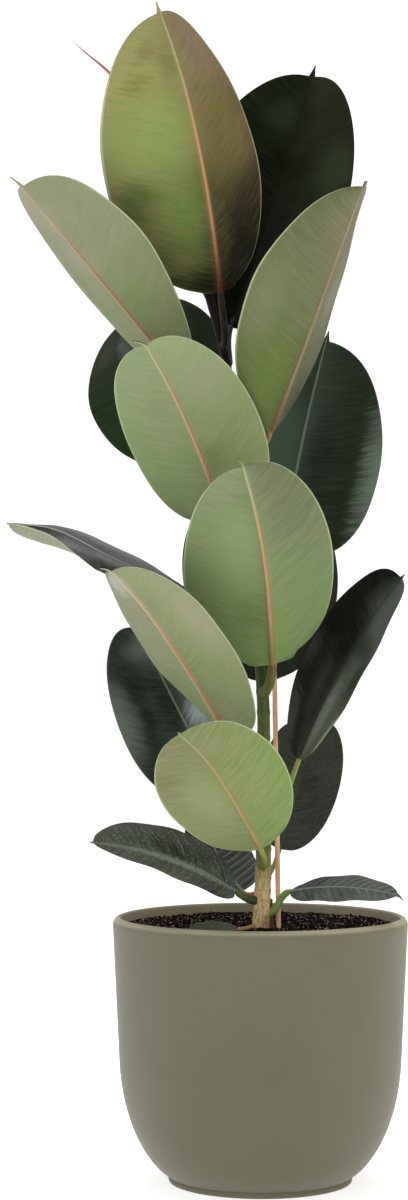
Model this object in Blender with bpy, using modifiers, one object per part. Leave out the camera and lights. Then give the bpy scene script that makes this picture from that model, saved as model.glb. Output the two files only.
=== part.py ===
"""Potted rubber plant (Ficus elastica) standing in a round matte pot.

Metres, +Z up. The origin is the centre of the pot's flat base. The viewer's side is -Y.
"""
import math
from dataclasses import dataclass

import bmesh
import bpy
import numpy as np

OBJECT_NAME = "potted_rubber_plant"
SHARP_ANGLE = 40                # degrees; flatter edges are shaded smooth

# Pot: one turned shell
POT_RADIUS = 0.125              # outer, at the rim
POT_HEIGHT = 0.220
WALL = 0.007
WALL_SLOPE = 0.049              # outward lean of the wall, radius per height
BELLY_HEIGHT = 0.100            # height of the big elliptical lower corner
BELLY_DEPTH = 0.0536            # how far that corner draws the foot in
FOOT_RADIUS = 0.0774
FOOT_HEIGHT = 0.005
FOOT_CHAMFER = 0.0008
FLOOR = 0.009                   # thickness of the pot's floor
TURNS = 48                      # facets round the pot and the soil
CROWDING = 1.8                  # how strongly the profile's points crowd towards the belly

# Soil
SOIL_TOP = 0.212
GAP = 0.0004                    # clearance between pieces that touch
BORE_GAP = 0.0005               # clearance of the stem, stake and stub in the soil

# Stem: centre line points (x, y, z) and radius, from inside the soil to the growing tip
STEM_ROUTE = [
    ((0.0005, -0.0290, 0.150), 0.0068),
    ((0.0005, -0.0290, 0.213), 0.0070),
    ((0.0027, -0.0285, 0.270), 0.0065),
    ((0.0025, -0.0270, 0.340), 0.0057),
    ((0.0020, -0.0260, 0.415), 0.0052),
    ((-0.0100, -0.0210, 0.540), 0.0048),
    ((-0.0205, -0.0170, 0.620), 0.0045),
    ((-0.0290, -0.0150, 0.693), 0.0041),
    ((-0.0450, -0.0140, 0.754), 0.0036),
    ((-0.0590, -0.0130, 0.800), 0.0032),
    ((-0.0720, -0.0120, 0.842), 0.0028),
]
SHEATH_ROUTE = [
    ((-0.0722, -0.0120, 0.8430), 0.0027),
    ((-0.0870, -0.0090, 0.8800), 0.0033),
    ((-0.1070, -0.0050, 0.9170), 0.0028),
    ((-0.1290, -0.0020, 0.9415), 0.0019),
    ((-0.1580, 0.0000, 0.9670), 0.0004),
]
STAKE_FOOT = (0.0165, -0.0180, 0.120)
STAKE_TOP = (0.0111, -0.0100, 0.495)
STAKE_RADIUS = 0.0022
STUB_ROUTE = [
    ((0.0104, -0.0185, 0.198), 0.0017),
    ((0.0100, -0.0190, 0.214), 0.0018),
    ((0.0088, -0.0180, 0.228), 0.0017),
    ((0.0092, -0.0170, 0.238), 0.0013),
]
ROUTE_STEPS = 3                 # points read from the smooth curve between two route points
STEM_PROBE = 0.01               # height over which the stem's direction is read

# Leaves
BLADE_THICKNESS = 0.0007
STALK_BASE_RADIUS = 0.0012      # leaf stalk radius of a blade of no width
STALK_PER_WIDTH = 0.011         # and what each metre of blade width adds to it
STALK_LEAVE = 0.007             # how far a stalk runs straight out of the stem
STALK_ARRIVE = 0.45             # and straight into the blade, as a share of its length
STALK_FLARE = 0.25              # how much thicker it is at the stem
RIB_TAPER = 1.2                 # how fast the midrib thins towards the tip
STALK_RINGS = 5
CUSP_HALF_WIDTH = 0.003         # half width of the drip tip where it leaves the blade
TIP_HALF_WIDTH = 0.0003
BLADE_STATIONS = (0.012, 0.04, 0.10, 0.20, 0.33, 0.47, 0.61, 0.74, 0.84, 0.91, 0.96, 0.985)
TOP_FRACTIONS = (-1.0, -0.5, -0.06, 0.0, 0.06, 0.5, 1.0)    # points across, edge to edge
LOW_FRACTIONS = (0.5, 0.06, 0.0, -0.06, -0.5)               # and back underneath
RING = len(TOP_FRACTIONS) + len(LOW_FRACTIONS)


@dataclass
class Leaf:
    """One leaf: where it leaves the stem, its blade's two ends, and the blade's form."""
    foot: float                 # height on the stem where the stalk grows out
    base: tuple                 # where stalk and blade meet
    tip: tuple                  # end of the drip tip
    width: float                # widest place of the blade, measured flat
    roll: float                 # degrees turned about the line from base to tip
    fold: float                 # degrees that each half is folded up from the midrib
    lift: float = 0.0           # arch of the midrib towards the upper side
    sway: float = 0.0           # arch of the midrib to one side
    heel: float = 0.45          # roundness at the base, smaller is rounder
    toe: float = 0.50           # roundness at the tip
    twist: float = 0.0          # degrees of turn from base to tip
    cup: float = 0.0            # curl of the edges, as a share of the half width
    curl: tuple = (0.0, 0.0)    # what each edge curls in addition by the tip
    drip: float = 0.012         # length of the drip tip
    leave: tuple = None         # level direction (x, y) of the stalk's foot, else towards base


LEAVES = {
    "leaf_01": Leaf(0.705, (-0.033, -0.033, 0.748), (-0.083, -0.130, 0.969), 0.156, 63, 13,
                    lift=-0.009, sway=-0.003, heel=0.44, toe=0.47, twist=20, cup=0.17, drip=0.010),
    "leaf_02": Leaf(0.690, (-0.025, 0.006, 0.724), (0.050, 0.104, 0.972), 0.146, 33, 24,
                    lift=-0.005, sway=0.002, heel=0.45, toe=0.50, twist=-21, cup=0.06),
    "leaf_03": Leaf(0.640, (-0.051, -0.048, 0.658), (-0.199, -0.132, 0.827), 0.110, 23, 30,
                    lift=0.001, sway=-0.001, heel=0.85, toe=0.41, twist=-26, cup=-0.08),
    "leaf_04": Leaf(0.600, (0.009, -0.045, 0.629), (0.086, -0.140, 0.820), 0.120, 8, 26,
                    heel=0.59, toe=0.54, twist=18, cup=0.09, drip=0.008),
    "leaf_05": Leaf(0.625, (-0.031, 0.015, 0.654), (-0.132, 0.175, 0.752), 0.145, -71, 4,
                    lift=0.018, sway=-0.013, heel=0.32, toe=0.54, twist=20),
    "leaf_06": Leaf(0.545, (-0.025, -0.055, 0.559), (-0.094, -0.174, 0.691), 0.113, 32, 15,
                    lift=0.024, heel=0.31, toe=0.57, cup=0.16),
    "leaf_07": Leaf(0.510, (0.021, 0.020, 0.541), (0.064, 0.184, 0.744), 0.150, 36, 7,
                    lift=-0.010, heel=0.41, toe=0.49, twist=-35),
    "leaf_08": Leaf(0.412, (0.010, -0.055, 0.436), (-0.014, -0.203, 0.594), 0.128, 21, 13,
                    sway=-0.004, heel=0.33, toe=0.51, twist=-2, cup=0.11),
    "leaf_09": Leaf(0.470, (-0.047, -0.020, 0.486), (-0.211, -0.048, 0.552), 0.095, -17, 4,
                    lift=0.007, heel=0.48, toe=0.50, twist=-8, cup=-0.07, drip=0.006),
    "leaf_10": Leaf(0.350, (-0.022, -0.065, 0.378), (-0.124, -0.159, 0.512), 0.106, 8, 8,
                    lift=-0.004, sway=-0.011, heel=0.51, toe=0.44, twist=24, cup=-0.02,
                    curl=(0.0, 0.87), drip=0.008),
    "leaf_11": Leaf(0.300, (-0.033, 0.030, 0.327), (-0.111, 0.107, 0.473), 0.105, -53, 22,
                    lift=0.028, heel=0.37, toe=0.54, twist=40, cup=0.25),
    "leaf_12": Leaf(0.266, (0.000, -0.075, 0.285), (-0.062, -0.229, 0.386), 0.102, 31, 10,
                    lift=0.009, sway=-0.003, heel=0.43, toe=0.57, twist=11, cup=-0.03),
    "leaf_13": Leaf(0.300, (0.033, -0.004, 0.355), (0.122, -0.017, 0.511), 0.097, 40, 14,
                    lift=0.003, sway=-0.008, heel=0.56, toe=0.34, twist=-14, cup=-0.03, drip=0.006,
                    leave=(1.0, -0.2)),
    "leaf_14": Leaf(0.395, (0.002, 0.027, 0.421), (-0.002, 0.129, 0.608), 0.138, 3, 10,
                    lift=0.003, sway=-0.002, heel=0.46, toe=0.49, twist=-11, cup=0.09),
    "leaf_15": Leaf(0.257, (0.017, 0.040, 0.276), (0.050, 0.099, 0.390), 0.072, 29, 17,
                    lift=0.018, sway=0.002, heel=0.44, toe=0.50, twist=-21, cup=0.09, drip=0.008),
    "leaf_16": Leaf(0.238, (-0.021, -0.040, 0.247), (-0.139, -0.082, 0.290), 0.072, -33, 10,
                    lift=0.008, sway=0.003, heel=0.48, toe=0.49, twist=11, drip=0.006),
    "leaf_17": Leaf(0.228, (0.026, -0.030, 0.246), (0.118, -0.063, 0.244), 0.052, 19, 2,
                    lift=0.006, heel=0.48, toe=0.51, twist=-7, cup=-0.08, drip=0.006),
    "leaf_18": Leaf(0.243, (-0.016, -0.002, 0.244), (-0.056, 0.070, 0.311), 0.060, -1, 12,
                    lift=-0.006, heel=0.46, toe=0.52, twist=5, drip=0.008),
    "leaf_19": Leaf(0.2165, (-0.019, -0.046, 0.2165), (-0.063, -0.056, 0.2155), 0.034, -14, 14,
                    lift=0.000, heel=0.48, toe=0.50, drip=0.004),
}

# Colours (linear), roughness
FINISHES = {
    "pot": ((0.165, 0.155, 0.105), 0.65),
    "soil": ((0.020, 0.012, 0.008), 0.95),
    "stem": ((0.200, 0.170, 0.070), 0.60),
    "stake": ((0.550, 0.370, 0.190), 0.70),
    "stem_stub": ((0.150, 0.050, 0.030), 0.70),
    "apical_sheath": ((0.500, 0.130, 0.110), 0.50),
    "leaf": ((0.120, 0.180, 0.070), 0.35),
}


def clear_scene():
    """Remove whatever the file holds."""
    for item in list(bpy.data.objects):
        bpy.data.objects.remove(item, do_unlink=True)


def new_collection(name, shown=True):
    """Add a collection to the scene."""
    group = bpy.data.collections.new(name)
    bpy.context.scene.collection.children.link(group)
    group.hide_render = not shown
    return group


def new_material(name, finish):
    """A Principled material with the given base colour and roughness."""
    colour, roughness = FINISHES[finish]
    material = bpy.data.materials.new(name)
    material.use_nodes = True
    shader = material.node_tree.nodes["Principled BSDF"]
    shader.inputs["Base Color"].default_value = (*colour, 1.0)
    shader.inputs["Roughness"].default_value = roughness
    shader.inputs["Metallic"].default_value = 0.0
    return material


def add_mesh(name, mesh, group, finish=None):
    """Put a mesh in the collection as a named, smooth-shaded object."""
    item = bpy.data.objects.new(name, mesh)
    group.objects.link(item)
    if finish:
        mesh.materials.append(new_material(name, finish))
    mesh.shade_smooth()
    mesh.set_sharp_from_angle(angle=math.radians(SHARP_ANGLE))
    return item


def smooth_route(route):
    """Points and radii on a Catmull-Rom curve through the route's own points."""
    knots = np.array([[*point, radius] for point, radius in route])
    padded = np.vstack([2 * knots[0] - knots[1], knots, 2 * knots[-1] - knots[-2]])
    rows = []
    for before, start, end, after in zip(padded, padded[1:], padded[2:], padded[3:]):
        for step in range(ROUTE_STEPS):
            t = step / ROUTE_STEPS
            rows.append(0.5 * (2 * start + (end - before) * t
                               + (2 * before - 5 * start + 4 * end - after) * t ** 2
                               + (3 * start - before - 3 * end + after) * t ** 3))
    rows.append(knots[-1])
    return np.array(rows)


def tube_mesh(name, rows, sides):
    """Closed round tube along rows of (x, y, z, radius), as a mesh with welded caps."""
    curve = bpy.data.curves.new(name, "CURVE")
    curve.dimensions = "3D"
    curve.bevel_depth = 1.0
    curve.bevel_resolution = sides // 2 - 2
    curve.use_fill_caps = True
    spline = curve.splines.new("POLY")
    spline.points.add(len(rows) - 1)
    for point, (x, y, z, radius) in zip(spline.points, rows):
        point.co = (x, y, z, 1.0)
        point.radius = radius
    item = bpy.data.objects.new(name, curve)
    bpy.context.scene.collection.objects.link(item)
    depsgraph = bpy.context.evaluated_depsgraph_get()
    mesh = bpy.data.meshes.new_from_object(item.evaluated_get(depsgraph))
    bpy.data.objects.remove(item, do_unlink=True)
    weld(mesh)
    mesh.name = name
    return mesh


def weld(mesh):
    """Merge coincident points and turn every face outwards."""
    shape = bmesh.new()
    shape.from_mesh(mesh)
    bmesh.ops.remove_doubles(shape, verts=shape.verts, dist=1e-6)
    bmesh.ops.recalc_face_normals(shape, faces=shape.faces)
    shape.to_mesh(mesh)
    shape.free()


def turned(name, profile, group, finish):
    """Solid of revolution: a profile of (radius, height) from the axis, down the outside."""
    mesh = bpy.data.meshes.new(name)
    points = [(radius, 0.0, height) for radius, height in profile]
    mesh.from_pydata(points, [(i, i + 1) for i in range(len(points) - 1)], [])
    item = add_mesh(name, mesh, group, finish)
    screw = item.modifiers.new("Turn", "SCREW")
    screw.axis = "Z"
    screw.steps = TURNS
    screw.render_steps = TURNS
    screw.use_merge_vertices = True
    screw.merge_threshold = 0.00001
    screw.use_smooth_shade = True
    return item


def pot_outer_radius(height):
    """Straight leaning wall, drawn in below by a quarter ellipse."""
    wall = POT_RADIUS - WALL_SLOPE * (POT_HEIGHT - height)
    rise = min(height / BELLY_HEIGHT, 1.0)
    return wall - BELLY_DEPTH * (1.0 - math.sqrt(1.0 - (1.0 - rise) ** 2))


def pot_inner_radius(height):
    """The inside follows the outside, with a rounded bottom corner down to the floor."""
    rise = min((height - FLOOR) / (BELLY_HEIGHT - FLOOR), 1.0)
    wall = POT_RADIUS - WALL_SLOPE * (POT_HEIGHT - height) - WALL
    return wall - (BELLY_DEPTH - WALL) * (1.0 - math.sqrt(1.0 - (1.0 - rise) ** 2))


def heights(low, high, count):
    """Heights that crowd towards the low end, where the belly bends most."""
    return [low + (high - low) * (i / (count - 1)) ** CROWDING for i in range(count)]


def pot_inside(top):
    """Points up the inside wall to the given height."""
    levels = [z for z in heights(FLOOR, POT_HEIGHT - WALL / 2, 9) if z < top - GAP] + [top]
    return [(pot_inner_radius(z), z) for z in levels]


def build_pot(group):
    """Foot, belly, wall, rounded lip, inside wall and floor in one profile."""
    lip = WALL / 2
    lip_height = POT_HEIGHT - lip
    centre = POT_RADIUS - lip
    inside = pot_inside(lip_height)
    arc = [(centre - lip * math.cos(a), lip_height + lip * math.sin(a))
           for a in (math.pi * i / 6 for i in range(1, 6))]
    outside = [(pot_outer_radius(z), z) for z in reversed(heights(FOOT_HEIGHT, lip_height, 11))]
    foot = [(FOOT_RADIUS, FOOT_HEIGHT - FOOT_CHAMFER), (FOOT_RADIUS, FOOT_CHAMFER),
            (FOOT_RADIUS - FOOT_CHAMFER, 0.0)]
    profile = [(0.0, FLOOR), *inside, *arc, *outside, *foot, (0.0, 0.0)]
    return turned("pot", profile, group, "pot")


def build_soil(parts, cutters, plugs):
    """The soil fills the pot up to its level and is bored for what stands in it."""
    side = [(radius - GAP, z + GAP) for radius, z in reversed(pot_inside(SOIL_TOP - GAP))]
    soil = turned("soil", [(0.0, SOIL_TOP), *side, (0.0, FLOOR + GAP)], parts, "soil")
    for name, rows, sides in plugs:
        bore = np.array(rows, dtype=float)
        bore[0, 2] -= BORE_GAP
        bore[:, 3] += BORE_GAP
        cutter = add_mesh(f"{name}_bore", tube_mesh(f"{name}_bore", bore, sides), cutters)
        cutter.hide_render = True
        cutter.display_type = "WIRE"
        cut = soil.modifiers.new(f"{name}_bore", "BOOLEAN")
        cut.operation = "DIFFERENCE"
        cut.solver = "EXACT"
        cut.object = cutter
    return soil


def buried(rows):
    """The stretch of a route from its foot to just above the soil."""
    last = next(i for i, row in enumerate(rows) if row[2] > SOIL_TOP + 0.002)
    return rows[:last + 1]


def unit(vector):
    """The vector at length one."""
    return vector / np.linalg.norm(vector, axis=-1, keepdims=True)


def stem_at(rows, height):
    """Centre, direction and radius of the stem at a height."""
    point = np.array([np.interp(height, rows[:, 2], rows[:, i]) for i in range(4)])
    above = np.array([np.interp(height + STEM_PROBE, rows[:, 2], rows[:, i]) for i in range(3)])
    return point[:3], unit(above - point[:3]), point[3]


def midrib(leaf, t):
    """Midrib points with the tangent, side and upper-face directions at each.

    The midrib is the line from base to tip plus a parabola of height lift and sway. The upper
    face starts as upright as the line allows, turned by roll, and turns by twist along the way.
    """
    base, tip = np.array(leaf.base), np.array(leaf.tip)
    axis = unit(tip - base)
    upright = unit(np.array([0.0, 0.0, 1.0]) - axis[2] * axis)
    roll = math.radians(leaf.roll)
    face = upright * math.cos(roll) + np.cross(axis, upright) * math.sin(roll)
    across = np.cross(axis, face)
    t = np.asarray(t, dtype=float)[:, None]
    arch = leaf.lift * face + leaf.sway * across
    points = base + (tip - base) * t + 4 * t * (1 - t) * arch
    along = unit((tip - base) + (4 - 8 * t) * arch)
    turn = math.radians(leaf.twist) * (t - 0.5)
    side = unit(np.cross(along, face * np.cos(turn) + across * np.sin(turn)))
    return points, along, side, np.cross(side, along)


def half_width(leaf, t):
    """Half width along the midrib: t^heel (1 - t)^toe, scaled to the widest place."""
    body_end = 1.0 - leaf.drip / np.linalg.norm(np.subtract(leaf.tip, leaf.base))
    s = np.clip(t / body_end, 0.0, 1.0)
    widest = leaf.heel / (leaf.heel + leaf.toe)
    peak = widest ** leaf.heel * (1 - widest) ** leaf.toe
    blade = leaf.width / 2 * s ** leaf.heel * (1 - s) ** leaf.toe / peak
    cusp = CUSP_HALF_WIDTH * np.clip((1 - t) / (1 - body_end) / 2, 0.0, 1.0)
    return np.sqrt(blade ** 2 + cusp ** 2) + TIP_HALF_WIDTH


def stalk_radius(leaf):
    """A wider blade hangs on a thicker stalk."""
    return STALK_BASE_RADIUS + STALK_PER_WIDTH * leaf.width


def blade_rings(leaf):
    """Lens sections across the blade, with the midrib standing out below and thin edges."""
    body_end = 1.0 - leaf.drip / np.linalg.norm(np.subtract(leaf.tip, leaf.base))
    t = np.array([*(s * body_end for s in BLADE_STATIONS), body_end, (1 + body_end) / 2, 1.0])
    points, _, side, face = midrib(leaf, t)
    half = half_width(leaf, t)[:, None, None]
    v = np.array(TOP_FRACTIONS + LOW_FRACTIONS)[None, :, None]
    fold = math.radians(leaf.fold)
    cup = leaf.cup + np.where(v < 0, *leaf.curl) * t[:, None, None] ** 2
    sheet = (points[:, None] + side[:, None] * v * half * math.cos(fold)
             + face[:, None] * half * (np.abs(v) * math.sin(fold) + cup * v ** 2))
    skin = np.minimum(BLADE_THICKNESS / 2, half / 2) * (np.abs(v) < 1)
    below = np.arange(RING)[None, :, None] >= len(TOP_FRACTIONS)
    rib = (stalk_radius(leaf) * (1 - t) ** RIB_TAPER + TIP_HALF_WIDTH)[:, None, None]
    depth = np.where(v == 0.0, rib, skin)
    return sheet + face[:, None] * np.where(below, -depth, skin)


def stalk_rings(leaf, stem_rows):
    """Round sections along a Bezier curve from the stem's skin to the foot of the blade."""
    centre, direction, radius = stem_at(stem_rows, leaf.foot)
    base = np.array(leaf.base)
    reach = np.array([*leaf.leave, 0.0]) if leaf.leave else base - centre
    out = unit(reach - direction * (reach @ direction))
    start = centre + out * (radius + GAP)
    _, along, side, face = midrib(leaf, [0.0])
    length = np.linalg.norm(base - start)
    controls = start, start + out * STALK_LEAVE, base - along[0] * length * STALK_ARRIVE, base
    t = (np.arange(STALK_RINGS) / STALK_RINGS)[:, None]
    weights = (1 - t) ** 3, 3 * (1 - t) ** 2 * t, 3 * (1 - t) * t ** 2, t ** 3
    line = sum(weight * point for weight, point in zip(weights, controls))
    after = np.vstack([line[1:], base])
    along_line = unit(after - line)
    along_line[0] = out
    across = unit(side[0] - along_line * (along_line @ side[0])[:, None])
    up = np.cross(across, along_line)
    angles = math.pi + np.arange(RING) * math.tau / RING
    thick = stalk_radius(leaf) * (1.0 + STALK_FLARE * (1 - t) ** 3)
    ring = (across[:, None] * np.cos(angles)[None, :, None]
            - up[:, None] * np.sin(angles)[None, :, None])
    return line[:, None] + thick[:, :, None] * ring


def build_leaf(name, leaf, stem_rows, group):
    """Loft from the round stalk to the flat blade, closed at both ends.

    Both faces of the thin, twisted blade are split along the same diagonals, so they keep their
    distance from each other.
    """
    rings = np.concatenate([stalk_rings(leaf, stem_rows), blade_rings(leaf)])
    count, sides = rings.shape[:2]
    index = np.arange(count * sides).reshape(count, sides)
    following = np.roll(index, -1, axis=1)
    a, b, c, d = index[:-1], following[:-1], following[1:], index[1:]
    upper = np.arange(sides) < len(TOP_FRACTIONS) - 1
    first = np.stack([a, b, np.where(upper, c, d)], axis=-1)
    second = np.stack([np.where(upper, a, b), c, d], axis=-1)
    faces = [*first.reshape(-1, 3).tolist(), *second.reshape(-1, 3).tolist(),
             index[0].tolist(), index[-1][::-1].tolist()]
    mesh = bpy.data.meshes.new(name)
    mesh.from_pydata(rings.reshape(-1, 3).tolist(), [], faces)
    weld(mesh)
    return add_mesh(name, mesh, group, "leaf")


def build_plant():
    """Pot, soil, stem and its leaves, stake, stub and the sheath at the growing tip."""
    clear_scene()
    parts = new_collection(OBJECT_NAME)
    cutters = new_collection(f"{OBJECT_NAME}_cutters", shown=False)
    stem = smooth_route(STEM_ROUTE)
    stub = smooth_route(STUB_ROUTE)
    stake = np.array([[*STAKE_FOOT, STAKE_RADIUS], [*STAKE_TOP, STAKE_RADIUS]])
    build_pot(parts)
    build_soil(parts, cutters, [("stem", buried(stem), 12), ("stake", stake, 8),
                                ("stem_stub", buried(stub), 8)])
    add_mesh("stem", tube_mesh("stem", stem, 12), parts, "stem")
    add_mesh("stake", tube_mesh("stake", stake, 8), parts, "stake")
    add_mesh("stem_stub", tube_mesh("stem_stub", stub, 8), parts, "stem_stub")
    add_mesh("apical_sheath", tube_mesh("apical_sheath", smooth_route(SHEATH_ROUTE), 8), parts,
             "apical_sheath")
    for name, leaf in LEAVES.items():
        build_leaf(name, leaf, stem, parts)


build_plant()
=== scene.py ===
"""Looks of a potted rubber plant: round matte pot, soil, barked stem and broad leathery leaves.

Metres, +Z up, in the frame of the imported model. The viewer's side is -Y.
"""
import itertools
import logging
import math
from dataclasses import dataclass, field
from enum import Enum
from typing import Optional, Sequence

import bpy
import numpy as np
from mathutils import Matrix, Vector


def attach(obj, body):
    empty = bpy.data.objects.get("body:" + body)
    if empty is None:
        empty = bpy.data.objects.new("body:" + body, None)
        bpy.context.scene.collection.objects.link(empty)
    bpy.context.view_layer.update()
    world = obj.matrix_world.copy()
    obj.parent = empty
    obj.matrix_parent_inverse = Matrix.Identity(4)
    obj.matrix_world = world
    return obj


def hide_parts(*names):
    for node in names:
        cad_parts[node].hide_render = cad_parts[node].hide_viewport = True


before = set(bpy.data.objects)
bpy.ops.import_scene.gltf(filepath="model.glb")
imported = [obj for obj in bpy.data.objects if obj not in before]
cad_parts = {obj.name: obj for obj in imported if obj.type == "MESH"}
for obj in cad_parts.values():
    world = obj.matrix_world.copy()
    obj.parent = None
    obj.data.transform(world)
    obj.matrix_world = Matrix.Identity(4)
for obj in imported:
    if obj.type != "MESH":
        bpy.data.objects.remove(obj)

Array = np.ndarray
Triple = tuple[float, float, float]

log = logging.getLogger("rubber_plant")
BODY = "root"
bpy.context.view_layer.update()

MM = 0.001
WHITE = (1.0, 1.0, 1.0)
HASH_STEPS = (73856093, 19349663, 83492791)
HASH_SEED = 40503
HASH_MIX = 1274126177

VEIN_REACH = 0.020              # unit of the distance from the midrib in attribute vein
SIDE_SPAN = 2.5                 # what it holds on a leaf's second side
NUMBER_SPAN = 3.7               # what each leaf's number adds to its patterns' place
PORES = 1400.0                  # leaf pores in a metre


# ---------------------------------------------------------------- numbers and arrays


def srgb(red: float, green: float, blue: float) -> Triple:
    """Linear colour of a display colour given in 0..255.

    Args:
        red, green, blue: display values.

    Returns:
        Each value c / 255 raised to 2.2 above the display curve's straight foot.
    """
    values = (np.array([red, green, blue]) / 255.0).tolist()
    return tuple(c / 12.92 if c <= 0.04045 else ((c + 0.055) / 1.055) ** 2.4 for c in values)


def unit(vector: Array) -> Array:
    """The vectors at length one."""
    return vector / np.linalg.norm(vector, axis=-1, keepdims=True)


def rise(low: float, high: float, x: Array) -> Array:
    """Smooth step: 0 at low, 1 at high, 3 t^2 - 2 t^3 between. It falls if low is above high."""
    t = np.clip((x - low) / (high - low), 0.0, 1.0)
    return t * t * (3 - 2 * t)


def soft_max(a: Array, b: Array, blend: float) -> Array:
    """The larger of two heights, rounded over a width: (a + b + sqrt((a - b)^2 + blend^2)) / 2."""
    return 0.5 * (a + b + np.sqrt((a - b) ** 2 + blend ** 2))


def lattice_noise(points: Array, size: float, seed: int) -> Array:
    """Value noise in -1..1.

    Every corner of a cubic lattice of the given size has a value hashed from its whole-number
    place, and a point takes its cell's eight values, blended by 3 t^2 - 2 t^3 along each axis.

    Args:
        points: places, shape (..., 3).
        size: edge of a cell, in metres.
        seed: picks another set of values.

    Returns:
        One value per point, shape (...).
    """
    scaled = points / size
    cell = np.floor(scaled).astype(np.int64)
    t = scaled - cell
    t = t * t * (3 - 2 * t)
    total = np.zeros(points.shape[:-1])
    for corner in itertools.product((0, 1), repeat=3):
        mixed = np.full(points.shape[:-1], seed * HASH_SEED, dtype=np.int64)
        weight = np.ones(points.shape[:-1])
        for axis, step in enumerate(corner):
            mixed = mixed ^ ((cell[..., axis] + step) * HASH_STEPS[axis])
            weight = weight * (t[..., axis] if step else 1 - t[..., axis])
        mixed = ((mixed ^ (mixed >> 13)) * HASH_MIX) & 0x7FFFFFFF
        total += weight * (((mixed ^ (mixed >> 11)) & 0xFFFF) / 32767.5 - 1)
    return total


def layered_noise(points: Array, size: float, layers: int, seed: int) -> Array:
    """Value noise plus finer layers, each at half the size and half the height of the last."""
    return sum(lattice_noise(points, size / 2 ** i, seed + i) / 2 ** i for i in range(layers))


def angles(sides: int) -> Array:
    """Even angles round one turn."""
    return np.linspace(0, math.tau, sides, endpoint=False)


def round_places(angle: Array, radius: Array | float, height: Array) -> Array:
    """Places (r cos a, r sin a, h), shape (rows, angles, 3)."""
    return np.stack(np.broadcast_arrays(np.cos(angle)[None] * radius, np.sin(angle)[None] * radius,
                                        height), axis=-1)


# ---------------------------------------------------------------- meshes


def new_object(name: str, points: Array, faces: list,
               attributes: Optional[dict[str, Array]] = None,
               slots: Optional[Array] = None) -> bpy.types.Object:
    """A smooth-shaded mesh object with its place in its mesh.

    Args:
        name: the piece's name.
        points: vertices, shape (n, 3).
        faces: vertex numbers of each face, turned outwards.
        attributes: named vectors per vertex, shape (n, 3).
        slots: material number of each face.

    Returns:
        The object, linked to the scene.
    """
    mesh = bpy.data.meshes.new(name)
    mesh.from_pydata(points.tolist(), [], faces)
    for key, values in (attributes or {}).items():
        layer = mesh.attributes.new(key, "FLOAT_VECTOR", "POINT")
        layer.data.foreach_set("vector", np.ascontiguousarray(values, dtype=np.float32).ravel())
    if slots is not None:
        mesh.polygons.foreach_set("material_index", slots.astype(np.int32))
    mesh.shade_smooth()
    mesh.update()
    item = bpy.data.objects.new(name, mesh)
    bpy.context.scene.collection.objects.link(item)
    return item


def with_poles(rings: Array) -> Array:
    """The rings' points or vectors in one list, and then the means of the first and last ring."""
    return np.vstack([rings.reshape(-1, 3), rings[0].mean(axis=0), rings[-1].mean(axis=0)])


def loft(name: str, rings: Array, attributes: Optional[dict[str, Array]] = None,
         slots: Optional[Array] = None) -> bpy.types.Object:
    """Closed skin over rings: quads between rings, and a fan to a pole at each end.

    Args:
        name: the piece's name.
        rings: points, shape (rings, points in a ring, 3).
        attributes: vectors on the rings, shape (rings, points in a ring, 3).
        slots: material numbers, shape (rings - 1, points in a ring).

    Returns:
        The object, with faces turned outwards by the sign of the enclosed volume.
    """
    count, sides = rings.shape[:2]
    points = with_poles(rings)
    index = np.arange(count * sides).reshape(count, sides)
    after = np.roll(index, -1, axis=1)
    quads = np.stack([index[:-1], after[:-1], after[1:], index[1:]], axis=-1).reshape(-1, 4)
    first_fan = np.stack([after[0], index[0], np.full(sides, count * sides)], axis=-1)
    last_fan = np.stack([index[-1], after[-1], np.full(sides, count * sides + 1)], axis=-1)
    corners = points[np.vstack([quads[:, :3], quads[:, [0, 2, 3]], first_fan, last_fan])]
    volume = np.einsum("ij,ij->i", corners[:, 0], np.cross(corners[:, 1], corners[:, 2])).sum()
    if volume < 0:
        quads, first_fan, last_fan = quads[:, ::-1], first_fan[:, ::-1], last_fan[:, ::-1]
    worn = {key: with_poles(values) for key, values in (attributes or {}).items()}
    chosen = None if slots is None else np.concatenate([slots.ravel(), slots[0], slots[-1]])
    faces = quads.tolist() + first_fan.tolist() + last_fan.tolist()
    return new_object(name, points, faces, worn, chosen)


def smooth_route(knots: Sequence, steps: int) -> Array:
    """Catmull-Rom curve, 0.5 (2b + (c - a) t + (2a - 5b + 4c - d) t^2 + (3b - a - 3c + d) t^3).

    Args:
        knots: rows of numbers, such as (x, y, z, radius), that it passes through.
        steps: points between two rows.

    Returns:
        Rows of the curve.
    """
    knots = np.array(knots)
    padded = np.vstack([2 * knots[0] - knots[1], knots, 2 * knots[-1] - knots[-2]])
    t = (np.arange(steps) / steps)[None, :, None]
    a, b, c, d = (padded[i:len(padded) - 3 + i, None] for i in range(4))
    curve = 0.5 * (2 * b + (c - a) * t + (2 * a - 5 * b + 4 * c - d) * t ** 2
                   + (3 * b - a - 3 * c + d) * t ** 3)
    return np.vstack([curve.reshape(-1, knots.shape[1]), knots[-1]])


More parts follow.
